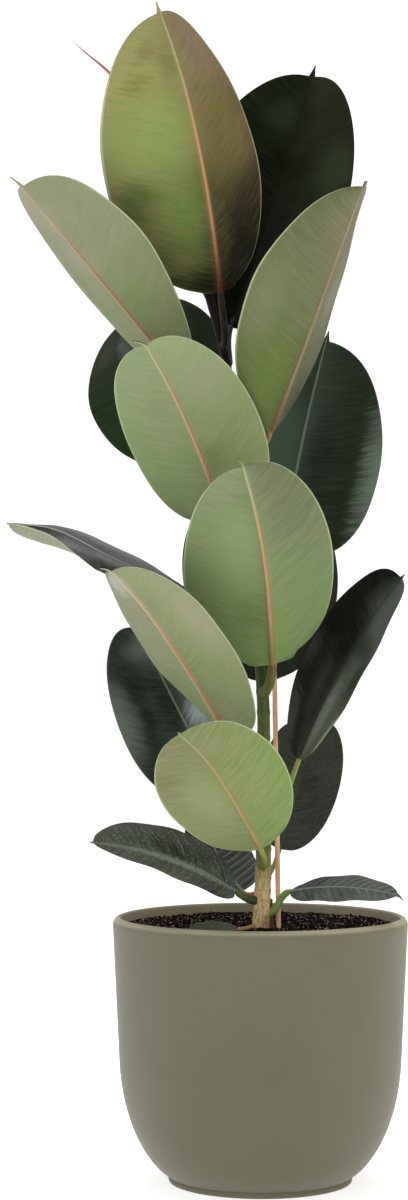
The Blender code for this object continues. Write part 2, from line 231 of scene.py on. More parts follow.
def swept(name: str, line: Array, radius: Array,
          attributes: Optional[dict[str, Array]] = None) -> bpy.types.Object:
    """Round skin along a line that climbs.

    A ring point at angle a is centre + r (side cos a + up sin a), where the side is +X squared to
    the line. The attribute path holds the angle, the length along the line and the radius.

    Args:
        name: the piece's name.
        line: centres, shape (n, 3).
        radius: shape (n, points in a ring).
        attributes: further vectors on the rings.

    Returns:
        The object.
    """
    along = unit(np.gradient(line, axis=0))
    side = unit(np.array([1.0, 0.0, 0.0]) - along * along[:, :1])
    angle = angles(radius.shape[1])
    turn = angle[None, :, None]
    spoke = side[:, None] * np.cos(turn) + np.cross(along, side)[:, None] * np.sin(turn)
    run = np.concatenate([[0.0], np.cumsum(np.linalg.norm(np.diff(line, axis=0), axis=1))])
    path = np.stack(np.broadcast_arrays(angle, run[:, None], radius), axis=-1)
    return loft(name, line[:, None] + radius[..., None] * spoke,
                {"path": path, **(attributes or {})})


# ---------------------------------------------------------------- shader expressions


class Field:
    """A number that varies over a surface. Arithmetic on it adds Math nodes."""

    def __init__(self, board: "Board", socket: bpy.types.NodeSocket) -> None:
        """Wrap an output socket of a board."""
        self.board = board
        self.socket = socket

    def math(self, operation: str, *values: "Field | float") -> "Field":
        """Result of a Math node on this field and the values."""
        node = self.board.add("ShaderNodeMath", {"operation": operation},
                              dict(enumerate((self, *values))))
        return Field(self.board, node.outputs[0])

    def __add__(self, other: "Field | float") -> "Field":
        """Sum."""
        return self.math("ADD", other)

    def __mul__(self, other: "Field | float") -> "Field":
        """Product."""
        return self.math("MULTIPLY", other)

    def __sub__(self, other: "Field | float") -> "Field":
        """Difference."""
        return self.math("SUBTRACT", other)

    def __rsub__(self, other: float) -> "Field":
        """A number minus this field."""
        node = self.board.add("ShaderNodeMath", {"operation": "SUBTRACT"}, {0: other, 1: self})
        return Field(self.board, node.outputs[0])

    def __truediv__(self, other: "Field | float") -> "Field":
        """Quotient."""
        return self.math("DIVIDE", other)

    def __pow__(self, other: float) -> "Field":
        """Power."""
        return self.math("POWER", other)

    def __abs__(self) -> "Field":
        """Size without its sign."""
        return self.math("ABSOLUTE")

    __radd__ = __add__
    __rmul__ = __mul__

    def wave(self) -> "Field":
        """Cosine of whole turns: 1 on whole numbers, -1 halfway between them."""
        return (self * math.tau).math("COSINE")

    def rise(self, low: float, high: float) -> "Field":
        """Smooth step from 0 at low to 1 at high. Low may be above high, for a fall."""
        node = self.board.add("ShaderNodeMapRange",
                              {"interpolation_type": "SMOOTHSTEP", "clamp": True},
                              {"Value": self, "From Min": low, "From Max": high,
                               "To Min": 0.0, "To Max": 1.0})
        return Field(self.board, node.outputs["Result"])


class Graph:
    """The nodes of a material or a world."""

    def __init__(self, owner: bpy.types.Material | bpy.types.World) -> None:
        """Start with no nodes."""
        owner.use_nodes = True
        self.tree = owner.node_tree
        self.tree.nodes.clear()

    def add(self, kind: str, settings: Optional[dict] = None,
            inputs: Optional[dict] = None) -> bpy.types.Node:
        """Add a node.

        Args:
            kind: the node's type.
            settings: properties, set before the inputs.
            inputs: values or links, by socket name or number.

        Returns:
            The node.
        """
        node = self.tree.nodes.new(kind)
        for key, value in (settings or {}).items():
            setattr(node, key, value)
        for key, value in (inputs or {}).items():
            self.put(node.inputs[key], value)
        return node

    def put(self, socket: bpy.types.NodeSocket, value: object) -> None:
        """Link or set one input socket.

        Args:
            socket: the input.
            value: a field or socket to link, else a number, vector or colour to set.
        """
        if isinstance(value, Field):
            value = value.socket
        if isinstance(value, bpy.types.NodeSocket):
            self.tree.links.new(value, socket)
        elif isinstance(value, tuple) and socket.type == "RGBA":
            socket.default_value = (*value, 1.0)
        else:
            socket.default_value = value


class Board(Graph):
    """One Principled material and the nodes that feed it."""

    def __init__(self, name: str) -> None:
        """Start a material with a Principled shader and its output."""
        self.material = bpy.data.materials.new(name)
        super().__init__(self.material)
        self.shader = self.add("ShaderNodeBsdfPrincipled")
        self.add("ShaderNodeOutputMaterial", {}, {"Surface": self.shader.outputs["BSDF"]})

    def split(self, vector: bpy.types.NodeSocket) -> tuple[Field, Field, Field]:
        """The three parts of a vector."""
        node = self.add("ShaderNodeSeparateXYZ", {}, {"Vector": vector})
        return tuple(Field(self, socket) for socket in node.outputs)

    def attribute(self, name: str) -> tuple[Field, Field, Field]:
        """The three parts of one of the mesh's own vectors."""
        node = self.add("ShaderNodeAttribute", {"attribute_name": name})
        return self.split(node.outputs["Vector"])

    def place(self) -> bpy.types.NodeSocket:
        """The point on the piece, in metres."""
        return self.add("ShaderNodeTexCoord").outputs["Object"]

    def vector(self, x: Field | float, y: Field | float, z: Field | float) -> bpy.types.NodeSocket:
        """A vector from three numbers."""
        return self.add("ShaderNodeCombineXYZ", {}, {"X": x, "Y": y, "Z": z}).outputs[0]

    def stretch(self, vector: bpy.types.NodeSocket, scale: Triple) -> bpy.types.NodeSocket:
        """A vector with each part scaled."""
        return self.add("ShaderNodeMapping", {}, {"Vector": vector, "Scale": scale}).outputs[0]

    def noise(self, vector: bpy.types.NodeSocket, scale: float, detail: float = 3.0,
              roughness: float = 0.55) -> Field:
        """Noise around 0.5 at a scale per unit of the vector."""
        node = self.add("ShaderNodeTexNoise", {"noise_dimensions": "3D"},
                        {"Vector": vector, "Scale": scale, "Detail": detail,
                         "Roughness": roughness})
        return Field(self, node.outputs[0])

    def spots(self, vector: bpy.types.NodeSocket, scale: float, radius: float) -> Field:
        """Round spots: 1 at the middle of a cell, 0 past the radius, as a share of the cell."""
        node = self.add("ShaderNodeTexVoronoi", {"feature": "F1"},
                        {"Vector": vector, "Scale": scale, "Randomness": 1.0})
        return Field(self, node.outputs["Distance"]).rise(radius, radius * 0.4)

    def mix(self, factor: Field, first: object, second: object) -> bpy.types.NodeSocket:
        """First colour where the factor is 0, second where it is 1."""
        return self.add("ShaderNodeMix", {"data_type": "RGBA"},
                        {0: factor, 6: first, 7: second}).outputs[2]

    def bump(self, height: Field, distance: float) -> bpy.types.NodeSocket:
        """Normal of a relief whose heights 0..1 span the distance."""
        return self.add("ShaderNodeBump", {}, {"Height": height, "Distance": distance,
                                               "Strength": 1.0}).outputs[0]

    def dress(self, **sockets: object) -> bpy.types.Material:
        """Set the shader's sockets.

        Args:
            sockets: fields, sockets or plain values by the socket's name, with _ for a space.

        Returns:
            The material.
        """
        for key, value in sockets.items():
            self.put(self.shader.inputs[key.replace("_", " ")], value)
        return self.material


# ---------------------------------------------------------------- finishes


@dataclass(frozen=True)
class StonewareFinish:
    """Matte coloured stoneware: faint cloudy tone, fine grain and pin holes.

    The lip is paler with a painted highlight, and the inside is paler with painted light. Each has
    two pairs of borders: where its tone begins and is full, on the distance from the axis with the
    wall's lean taken out, and on the height.
    """
    tone: Triple = srgb(90, 87, 63)
    cloud: Triple = srgb(86, 83, 60)
    speck: Triple = srgb(70, 67, 49)
    # painted highlight along the lip
    lip: Triple = srgb(146, 141, 114)
    # painted light on the inside wall
    inside: Triple = srgb(150, 142, 117)
    slope: float = 0.049
    lip_inward: tuple[float, float] = (0.1142, 0.1126)
    lip_height: tuple[float, float] = (0.206, 0.212)
    inside_inward: tuple[float, float] = (0.1090, 0.1078)
    inside_height: tuple[float, float] = (0.10, 0.16)
    cloud_scale: float = 14.0
    grain_scale: float = 900.0
    speck_scale: float = 260.0
    depth: float = 0.12 * MM

    def material(self, name: str) -> bpy.types.Material:
        """Make the finish.

        Args:
            name: the material's name.

        Returns:
            The material.
        """
        board = Board(name)
        place = board.place()
        cloud = board.noise(place, self.cloud_scale, 3.0)
        grain = board.noise(place, self.grain_scale, 2.0)
        speck = board.spots(place, self.speck_scale, 0.16)
        colour = board.mix(cloud.rise(0.30, 0.70) * 0.6, self.tone, self.cloud)
        colour = board.mix(speck * 0.35, colour, self.speck)
        x, y, z = board.split(place)
        inward = (x * x + y * y) ** 0.5 - z * self.slope
        # lay on the painted lip highlight and the painted light inside
        for tone, near, high in ((self.lip, self.lip_inward, self.lip_height),
                                 (self.inside, self.inside_inward, self.inside_height)):
            colour = board.mix(inward.rise(*near) * z.rise(*high), colour, tone)
        rough = 0.62 + (cloud - 0.5) * 0.12 + (grain - 0.5) * 0.1
        relief = grain * 0.6 + cloud * 0.4 - speck * 0.4
        return board.dress(Base_Color=colour, Roughness=rough,
                           Normal=board.bump(relief, self.depth),
                           Specular_IOR_Level=0.5, Sheen_Weight=0.15)


@dataclass(frozen=True)
class SoilFinish:
    """Dark moist potting mix."""
    dark: Triple = srgb(3, 2, 1)
    brown: Triple = srgb(20, 12, 8)
    lump_scale: float = 160.0
    grain_scale: float = 900.0
    depth: float = 0.8 * MM

    def material(self, name: str) -> bpy.types.Material:
        """Make the finish.

        Args:
            name: the material's name.

        Returns:
            The material.
        """
        board = Board(name)
        place = board.place()
        lumps = board.noise(place, self.lump_scale, 4.0, 0.7)
        grain = board.noise(place, self.grain_scale, 3.0, 0.7)
        colour = board.mix((lumps * 0.5 + grain * 0.5).rise(0.40, 0.66), self.dark, self.brown)
        return board.dress(Base_Color=colour, Roughness=0.75 + grain * 0.25,
                           Normal=board.bump(grain * 0.6 + lumps * 0.4, self.depth),
                           Specular_IOR_Level=0.03)


@dataclass(frozen=True)
class GritFinish:
    """Pale grit and perlite on the soil."""
    pale: Triple = srgb(226, 196, 180)
    dull: Triple = srgb(116, 74, 60)
    tone_scale: float = 130.0
    grain_scale: float = 1500.0
    depth: float = 0.2 * MM

    def material(self, name: str) -> bpy.types.Material:
        """Make the finish.

        Args:
            name: the material's name.

        Returns:
            The material.
        """
        board = Board(name)
        place = board.place()
        tone = board.noise(place, self.tone_scale, 1.0)
        grain = board.noise(place, self.grain_scale, 2.0)
        colour = board.mix((tone * 0.8 + grain * 0.2).rise(0.42, 0.6), self.dull, self.pale)
        return board.dress(Base_Color=colour, Roughness=0.6 + grain * 0.35,
                           Normal=board.bump(grain, self.depth))


@dataclass(frozen=True)
class BarkFinish:
    """Stem skin: tan cork at the foot, green higher up and maroon at the top."""
    cork: Triple = srgb(212, 188, 134)
    furrow: Triple = srgb(158, 130, 80)
    moss: Triple = srgb(98, 104, 50)
    green: Triple = srgb(62, 84, 36)
    shade: Triple = srgb(36, 44, 24)
    maroon: Triple = srgb(20, 9, 9)
    scar: Triple = srgb(70, 56, 40)
    cork_top: tuple[float, float] = (0.242, 0.285)
    shade_from: tuple[float, float] = (0.36, 0.50)
    maroon_from: tuple[float, float] = (0.56, 0.70)
    mottle_scale: Triple = (900.0, 900.0, 130.0)
    patch_scale: Triple = (160.0, 160.0, 60.0)
    fine_scale: Triple = (2600.0, 2600.0, 700.0)
    depth: float = 0.25 * MM

    def material(self, name: str) -> bpy.types.Material:
        """Make the finish: its colours follow the height on the stem.

        Args:
            name: the material's name.

        Returns:
            The material.
        """
        board = Board(name)
        place = board.place()
        _, _, height = board.split(place)
        mottle = board.noise(board.stretch(place, self.mottle_scale), 1.0, 4.0, 0.65)
        patch = board.noise(board.stretch(place, self.patch_scale), 1.0, 2.0)
        fine = board.noise(board.stretch(place, self.fine_scale), 1.0, 2.0)
        cork = board.mix((mottle * 0.7 + patch * 0.3).rise(0.40, 0.60), self.furrow, self.cork)
        skin = board.mix(mottle.rise(0.35, 0.7), self.green, self.moss)
        skin = board.mix(height.rise(*self.shade_from) * 0.85, skin, self.shade)
        skin = board.mix(height.rise(*self.maroon_from), skin, self.maroon)
        fade = (height + (patch - 0.5) * 0.05).rise(*self.cork_top)
        colour = board.mix(fade, cork, skin)
        _, _, scar = board.attribute("scar")
        colour = board.mix(scar * (fine * 0.5 + 0.1), colour, self.scar)
        relief = mottle * 0.6 + fine * 0.4
        return board.dress(Base_Color=colour, Roughness=0.5 + mottle * 0.3,
                           Normal=board.bump(relief, self.depth), Specular_IOR_Level=0.2)


@dataclass(frozen=True)
class WoodFinish:
    """Split cane with long fine grain."""
    pale: Triple = srgb(240, 206, 160)
    dark: Triple = srgb(196, 148, 100)
    grain_scale: Triple = (1600.0, 1600.0, 22.0)
    tone_scale: Triple = (200.0, 200.0, 30.0)
    depth: float = 0.15 * MM

    def material(self, name: str) -> bpy.types.Material:
        """Make the finish.

        Args:
            name: the material's name.

        Returns:
            The material.
        """
        board = Board(name)
        place = board.place()
        grain = board.noise(board.stretch(place, self.grain_scale), 1.0, 4.0, 0.6)
        tone = board.noise(board.stretch(place, self.tone_scale), 1.0, 2.0)
        colour = board.mix((grain * 0.6 + tone * 0.4).rise(0.40, 0.62), self.dark, self.pale)
        return board.dress(Base_Color=colour, Roughness=0.5 + grain * 0.25,
                           Normal=board.bump(grain, self.depth))


@dataclass(frozen=True)
class DryFinish:
    """Dried brown plant tissue, with fibres that run along it."""
    light: Triple = srgb(140, 84, 58)
    dark: Triple = srgb(62, 34, 26)
    fibre_scale: Triple = (1500.0, 1500.0, 260.0)
    depth: float = 0.3 * MM

    def material(self, name: str) -> bpy.types.Material:
        """Make the finish.

        Args:
            name: the material's name.

        Returns:
            The material.
        """
        board = Board(name)
        place = board.place()
        fibre = board.noise(board.stretch(place, self.fibre_scale), 1.0, 4.0, 0.65)
        colour = board.mix(fibre.rise(0.36, 0.64), self.dark, self.light)
        return board.dress(Base_Color=colour, Roughness=0.6 + fibre * 0.3,
                           Normal=board.bump(fibre, self.depth))


@dataclass(frozen=True)
class SheathFinish:
    """Waxy red sheath with fine pale lines along it, darker at its foot."""
    red: Triple = srgb(142, 84, 80)
    pink: Triple = srgb(186, 136, 132)
    foot: Triple = srgb(110, 44, 38)
    foot_end: float = 0.05
    lines_round: float = 4.0
    lines_along: float = 22.0
    depth: float = 0.08 * MM

    def material(self, name: str) -> bpy.types.Material:
        """Make the finish.

        Args:
            name: the material's name.

        Returns:
            The material.
        """
        board = Board(name)
        angle, run, _ = board.attribute("path")
        place = board.vector(angle * self.lines_round, run * self.lines_along, 0.0)
        lines = board.noise(place, 1.0, 2.0)
        colour = board.mix(lines.rise(0.35, 0.7), self.red, self.pink)
        colour = board.mix(run.rise(self.foot_end, 0.0) * 0.7, colour, self.foot)
        return board.dress(Base_Color=colour, Roughness=0.36 + lines * 0.15,
                           Normal=board.bump(lines, self.depth))


@dataclass(frozen=True)
class Quarters:
    """One value for each quarter of a blade: heel and tip ends of its first and second side."""
    heel_first: object
    heel_second: object
    tip_first: object
    tip_second: object


def all_over(value: object) -> Quarters:
    """The same value in every quarter."""
    return Quarters(value, value, value, value)


def quarters(*tones: Triple) -> Quarters:
    """Quarters of four display tones, given as red, green and blue from 0 to 255."""
    return Quarters(*(srgb(*tone) for tone in tones))


@dataclass(frozen=True)
class Wash:
    """A soft oval of another colour on a blade, in shares of its length and half width. Washes
    give a leaf its own tones, and also painted shade, painted shadows, painted sheen and painted
    highlights.
    """
    along: float
    across: float
    long: float
    wide: float
    colour: Triple
    weight: float = 0.7
    torn: float = 0.9


@dataclass(frozen=True)
class LeafTone:
    """Colours of one leaf's three skins, and the weights of what varies on them.

    The under face has a blush between its veins, their pale veining, pits, and a midrib (rib) with
    a halo. The upper face has lines that streak it, partly vein colour and partly painted glints on
    the veins, some wide enough to cross it, a groove on the midrib, specks and dust. Quarters and
    washes give each face its own tones, and also painted shade and painted shadow on the under
    face and painted sheen and painted highlights on the upper face.
    """
    # under quarters and washes: the leaf's own tones, painted shade and painted shadow
    under: Quarters = all_over(srgb(132, 148, 100))
    under_washes: tuple = ()
    blush: Triple = srgb(146, 140, 108)
    blushing: float = 0.25
    veining: float = 0.07
    rib: Triple = srgb(180, 122, 92)
    rib_foot: Triple = srgb(156, 94, 66)
    rib_tip: Triple = srgb(168, 170, 132)
    rib_weight: float = 0.85
    halo: float = 0.25
    # upper quarters and washes: the leaf's own tones, painted sheen and painted highlights
    upper: Quarters = all_over(srgb(24, 34, 15))
    upper_washes: tuple = ()
    # pale vein lines, partly painted glints on the veins
    line: Triple = srgb(56, 68, 42)
    groove: Triple = srgb(50, 62, 40)
    streaking: float = 0.14
    crossing: Optional[Quarters] = None
    groove_width: float = 0.95
    sheen: float = 0.07
    gloss: float = 0.12
    dust: Quarters = all_over(0.05)
    stalk: Triple = srgb(116, 122, 60)
    stalk_end: Triple = srgb(140, 116, 62)
    specks: float = 0.0
    pits: float = 0.0


def between(factor: Field, first: "Field | float", second: "Field | float") -> Field:
    """First where the factor is 0, second where it is 1."""
    return first + factor * (second - first)


class LeafSkin:
    """What the leaf finishes share: the mesh's own coordinates and the vein pattern.

    Attribute flat is (distance from the midrib, distance along the blade, the leaf's own number),
    attribute place is (share of the half width, share of the length, distance in midrib radii)
    and attribute vein is (count of side veins, distance from the midrib over VEIN_REACH, side).
    Side is 0 on the first side and SIDE_SPAN on the second.
    """

    def __init__(self, name: str) -> None:
        """Start the material and read the mesh's coordinates."""
        self.board = Board(name)
        self.across, self.run, self.number = self.board.attribute("flat")
        self.reach, self.along, self.rib = self.board.attribute("place")
        self.vein, self.out, self.side = self.board.attribute("vein")

    def streaks(self, per_vein: float, detail: float = 3.0) -> Field:
        """Noise drawn out along the side veins."""
        vector = self.board.vector(self.vein * per_vein, self.out * 0.9, self.number + self.side)
        return self.board.noise(vector, 1.0, detail, 0.6)

    def clouds(self, size: float) -> Field:
        """Broad soft patches of about the given size in metres."""
        vector = self.board.vector(self.across / size, self.run / size, self.number)
        return self.board.noise(vector, 1.0, 2.0, 0.5)

    def pores(self) -> Field:
        """Fine leather grain."""
        vector = self.board.vector(self.across * PORES, self.run * PORES, self.number)
        return self.board.noise(vector, 1.0, 2.0, 0.5)

    def edge(self) -> Field:
        """1 on the thin margin, 0 inside."""
        return abs(self.reach).rise(0.968, 0.992)

    def washed(self, colour: bpy.types.NodeSocket, washes: tuple,
               drift: Field) -> bpy.types.NodeSocket:
        """The colour with each wash laid over it: full inside a quarter of its oval, 0 outside.

        Args:
            colour: the colour below.
            washes: ovals in the order they are laid.
            drift: noise about 0.5 that makes their borders waver.

        Returns:
            The colour on top.
        """
        for wash in washes:
            here = self.board.vector(self.along / wash.long, self.reach / wash.wide, 0.0)
            middle = (wash.along / wash.long, wash.across / wash.wide, 0.0)
            gap = self.board.add("ShaderNodeVectorMath", {"operation": "DISTANCE"},
                                 {0: here, 1: middle}).outputs["Value"]
            reach = Field(self.board, gap) + (drift - 0.5) * wash.torn
            colour = self.board.mix(reach.rise(1.0, 0.15) * wash.weight, colour, wash.colour)
        return colour

    def blend(self, values: Quarters, drift: Field) -> object:
        """One colour or weight over the blade from its four quarters, with wavering borders.

        Args:
            values: colours or numbers.
            drift: noise about 0.5 that moves the borders.

        Returns:
            The colour's socket or the weight's field.
        """
        if values == all_over(values.heel_first):
            return values.heel_first
        second = (self.reach * 0.5 + (drift - 0.5) * 0.5 + 0.5).rise(0.12, 0.88)
        tip = (self.along + (drift - 0.5) * 0.35).rise(0.05, 0.95)
        join = self.board.mix if isinstance(values.heel_first, tuple) else between
        heel_end = join(second, values.heel_first, values.heel_second)
        return join(tip, heel_end, join(second, values.tip_first, values.tip_second))


@dataclass(frozen=True)
class UnderFinish:
    """Pale leaf back: side veins, streaks between them, a coloured midrib and a thin pale edge,
    with painted shade and shadow from its quarters and washes, and a painted highlight and painted
    shade on the midrib's two sides.
    """
    tone: LeafTone
    edge: Triple = srgb(178, 188, 150)
    cloud: float = 0.040
    patch: float = 0.013
    pit_scale: float = 170.0
    depth: float = 0.10 * MM

    def material(self, name: str) -> bpy.types.Material:
        """Make the finish.

        Args:
            name: the material's name.

        Returns:
            The material.
        """
        skin = LeafSkin(name)
        board, tone = skin.board, self.tone
        streak, thread = skin.streaks(0.8), skin.streaks(2.6, 2.0)
        broad, middle, pores = skin.clouds(self.cloud), skin.clouds(self.patch), skin.pores()
        ridge = skin.vein.wave() * 0.5 + 0.5
        patch = (broad * 0.35 + streak * 0.40 + thread * 0.25).rise(0.40, 0.62)
        colour = board.mix(patch * tone.blushing, skin.blend(tone.under, broad), tone.blush)
        # washes: the leaf's own tones, painted shade and painted shadow
        colour = skin.washed(colour, tone.under_washes, broad * 0.5 + streak * 0.5)
        colour = board.mix((middle * 0.4 + thread * 0.6).rise(0.50, 0.66) * tone.blushing * 0.5,
                           colour, tone.blush)
        colour = board.mix(streak.rise(0.60, 0.34) * 0.07, colour, tone.stalk)
        lines = (ridge ** 4.0) * streak.rise(0.35, 0.65) + thread.rise(0.45, 0.75) * 0.5
        colour = board.mix(lines * tone.veining, colour, self.edge)
        colour = board.mix(pores.rise(0.45, 0.30) * 0.08, colour, tone.stalk)
        rib_tone = board.mix(skin.along.rise(0.30, 0.0), tone.rib, tone.rib_foot)
        rib_tone = board.mix(skin.along.rise(0.50, 0.95), rib_tone, tone.rib_tip)
        rib_tone = board.mix(pores.rise(0.40, 0.70) * 0.2, rib_tone, self.edge)
        core = skin.rib.rise(1.15, 0.70)
        colour = board.mix(skin.rib.rise(2.8, 0.9) * tone.halo, colour, rib_tone)
        colour = board.mix(core * tone.rib_weight, colour, rib_tone)
        # painted light on the midrib's ridge: a painted highlight on its second side, painted shade
        # on its first
        second = skin.side / SIDE_SPAN
        colour = board.mix(core * second * skin.along.rise(0.0, 0.25) * 0.22, colour, self.edge)
        colour = board.mix(skin.rib.rise(1.5, 0.8) * (1.0 - second) * 0.30, colour, tone.rib_foot)
        if tone.pits:
            place = board.vector(skin.across, skin.run, skin.number)
            dot = board.spots(place, self.pit_scale, 0.16)
            colour = board.mix(dot * broad.rise(0.45, 0.6) * tone.pits, colour, tone.rib_foot)
        colour = board.mix(skin.edge() * 0.6, colour, self.edge)
        relief = ridge * 0.30 + streak * 0.30 + thread * 0.28 + pores * 0.12
        return board.dress(Base_Color=colour, Roughness=0.52 + streak * 0.14 - core * 0.16,
                           Normal=board.bump(relief, self.depth), Specular_IOR_Level=tone.gloss)


@dataclass(frozen=True)
class UpperFinish:
    """Dark glossy leaf face: faint veins partly painted as glints, a paler midrib, dust where it
    has settled, and painted sheen and painted highlights from its quarters and washes.
    """
    tone: LeafTone
    dust: Triple = srgb(148, 156, 142)
    cloud: float = 0.040
    speck_scale: float = 420.0
    depth: float = 0.12 * MM

    def material(self, name: str) -> bpy.types.Material:
        """Make the finish.

        Args:
            name: the material's name.

        Returns:
            The material.
        """
        skin = LeafSkin(name)
        board, tone = skin.board, self.tone
        streak, thread = skin.streaks(0.8), skin.streaks(2.6, 2.0)
        broad, pores = skin.clouds(self.cloud), skin.pores()
        ridge = skin.vein.wave() * 0.5 + 0.5
        # quarters and washes: the leaf's own dark tones, painted sheen and painted highlights
        colour = skin.washed(skin.blend(tone.upper, broad), tone.upper_washes,
                             broad * 0.2 + streak * 0.4 + thread * 0.4)
        # pale vein lines, partly vein colour and partly painted glints on the veins
        lines = (ridge ** 6.0) * 0.3 + (thread * 0.6 + streak * 0.4).rise(0.42, 0.72)
        colour = board.mix(lines * tone.streaking, colour, tone.line)
        if tone.crossing:
            main = ((skin.vein / 3.0 + (broad - 0.5) * 0.9).wave() * 0.5 + 0.5) ** 5.0
            weight = main * (streak * 0.8 + 0.5) * skin.blend(tone.crossing, broad)
            colour = board.mix(weight, colour, tone.line)
        if tone.specks:
            place = board.vector(skin.across, skin.run, skin.number)
            dot = board.spots(place, self.speck_scale, 0.38)
            colour = board.mix(dot * thread.rise(0.35, 0.6) * tone.specks, colour, self.dust)
        colour = board.mix(skin.rib.rise(tone.groove_width, 0.45) * 0.8, colour, tone.groove)
        colour = board.mix(skin.edge() * 0.35, colour, tone.groove)
        settled = (broad * 0.30 + thread * 0.35 + pores * 0.35).rise(0.38, 0.62)
        weight = settled * skin.blend(tone.dust, streak)
        colour = board.mix(weight, colour, self.dust)
        rough = 0.30 + weight * 0.5 + streak * 0.10
        relief = ridge * 0.26 + streak * 0.38 + thread * 0.26 + pores * 0.10
        return board.dress(Base_Color=colour, Roughness=rough,
                           Normal=board.bump(relief, self.depth), Specular_IOR_Level=tone.sheen)


@dataclass(frozen=True)
class StalkFinish:
    """Leaf stalk: smooth green-brown skin, changing towards the blade."""
    tone: LeafTone
    change: float = 0.030
    lines_across: float = 1100.0
    lines_along: float = 90.0
    depth: float = 0.15 * MM

    def material(self, name: str) -> bpy.types.Material:
        """Make the finish.

        Args:
            name: the material's name.

        Returns:
            The material.
        """
        skin = LeafSkin(name)
        board, tone = skin.board, self.tone
        pores = skin.pores()
        place = board.vector(skin.across * self.lines_across, skin.run * self.lines_along,
                             skin.number)
        lines = board.noise(place, 1.0)
        colour = board.mix(skin.run.rise(-self.change, 0.0), tone.stalk, tone.stalk_end)
        colour = board.mix(lines.rise(0.35, 0.7) * 0.12, colour, tone.rib_tip)
        return board.dress(Base_Color=colour, Roughness=0.45 + lines * 0.15,
                           Normal=board.bump(lines * 0.7 + pores * 0.3, self.depth),
                           Specular_IOR_Level=0.2)


# ---------------------------------------------------------------- pieces


def settle(item: bpy.types.Object, materials: Sequence[bpy.types.Material],
           node: Optional[str] = None) -> bpy.types.Object:
    """Dress a piece, let it ride on the plant and hide the CAD node it stands for.

    Args:
        item: the piece.
        materials: its materials, by the material numbers of its faces.
        node: the CAD node that it replaces.

    Returns:
        The piece.
    """
    for material in materials:
        item.data.materials.append(material)
    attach(item, BODY)
    if node:
        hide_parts(node)
    log.info("%s: %d faces", item.name, len(item.data.polygons))
    return item


@dataclass
class Pot:
    """Round pot: leaning wall, big elliptical lower corner, short foot and rounded lip."""
    radius: float = 0.1251
    height: float = 0.222
    wall: float = 0.007
    slope: float = 0.049
    belly_height: float = 0.100
    belly_depth: float = 0.0536
    foot_radius: float = 0.0774
    foot_height: float = 0.005
    floor: float = 0.009
    edge: float = 0.0008
    lip_inward: float = 0.0015
    lip_rise: float = 0.0024
    lip_drop: float = 0.0068
    pole: float = 0.004
    sides: int = 192
    rows: int = 60
    crowding: float = 1.8
    lip_rows: int = 14
    foot_rows: int = 5

    def outer(self, z: Array) -> Array:
        """Outer radius: R - slope (H - z), less depth (1 - sqrt(1 - (1 - z / h)^2)) below h."""
        rest = 1 - np.clip(z / self.belly_height, 0, 1)
        return (self.radius - self.slope * (self.height - z)
                - self.belly_depth * (1 - np.sqrt(1 - rest ** 2)))

    def inner(self, z: Array) -> Array:
        """Inner radius: the wall's thickness inside the outer one, with its own corner."""
        rest = 1 - np.clip((z - self.floor) / (self.belly_height - self.floor), 0, 1)
        return (self.radius - self.slope * (self.height - z) - self.wall
                - (self.belly_depth - self.wall) * (1 - np.sqrt(1 - rest ** 2)))

    def profile(self) -> tuple[Array, Array]:
        """Profile from the floor's middle up the inside, over the lip and down to the foot.

        The rows crowd towards the belly as t^crowding. The lip is a quarter of a small ellipse
        up to its crown, and a quarter of a taller one down to the wall, both leaning as it does.
        The foot's edge is a quarter of a circle.

        Returns:
            Radii and heights.
        """
        crowd = np.linspace(0, 1, self.rows) ** self.crowding
        low_in, low_out = self.height - self.lip_rise, self.height - self.lip_drop
        inside = self.floor + (low_in - self.floor) * crowd
        outside = (self.foot_height + (low_out - self.foot_height) * crowd)[::-1]
        arc = np.linspace(0, math.pi / 2, self.lip_rows + 2)[1:]
        crown = self.radius - self.wall + self.lip_inward
        rising = low_in + (self.height - low_in) * np.sin(arc)
        falling = low_out + (self.height - low_out) * np.cos(arc[:-1])
        lip_in = crown - self.lip_inward * np.cos(arc) - self.slope * (self.height - rising)
        lip_out = (crown + (self.radius - crown) * np.sin(arc[:-1])
                   - self.slope * (self.height - falling))
        bend = np.linspace(0, math.pi / 2, self.foot_rows)
        foot = self.foot_radius - self.edge
        radii = [[self.pole], self.inner(inside), lip_in, lip_out, self.outer(outside),
                 [self.foot_radius + self.edge], foot + self.edge * np.cos(bend),
                 [foot / 2, self.pole]]
        heights = [[self.floor], inside, rising, falling, outside,
                   [self.foot_height - self.edge * 0.3], self.edge * (1 - np.sin(bend)), [0.0, 0.0]]
        return np.concatenate(radii), np.concatenate(heights)

    def build(self) -> bpy.types.Object:
        """Make and dress the pot: the profile (r, h) turned to (r cos a, r sin a, h).

        Returns:
            The pot.
        """
        radius, height = self.profile()
        item = loft("pot_shell", round_places(angles(self.sides), radius[:, None], height[:, None]))
        return settle(item, [StonewareFinish().material("stoneware")], "pot")


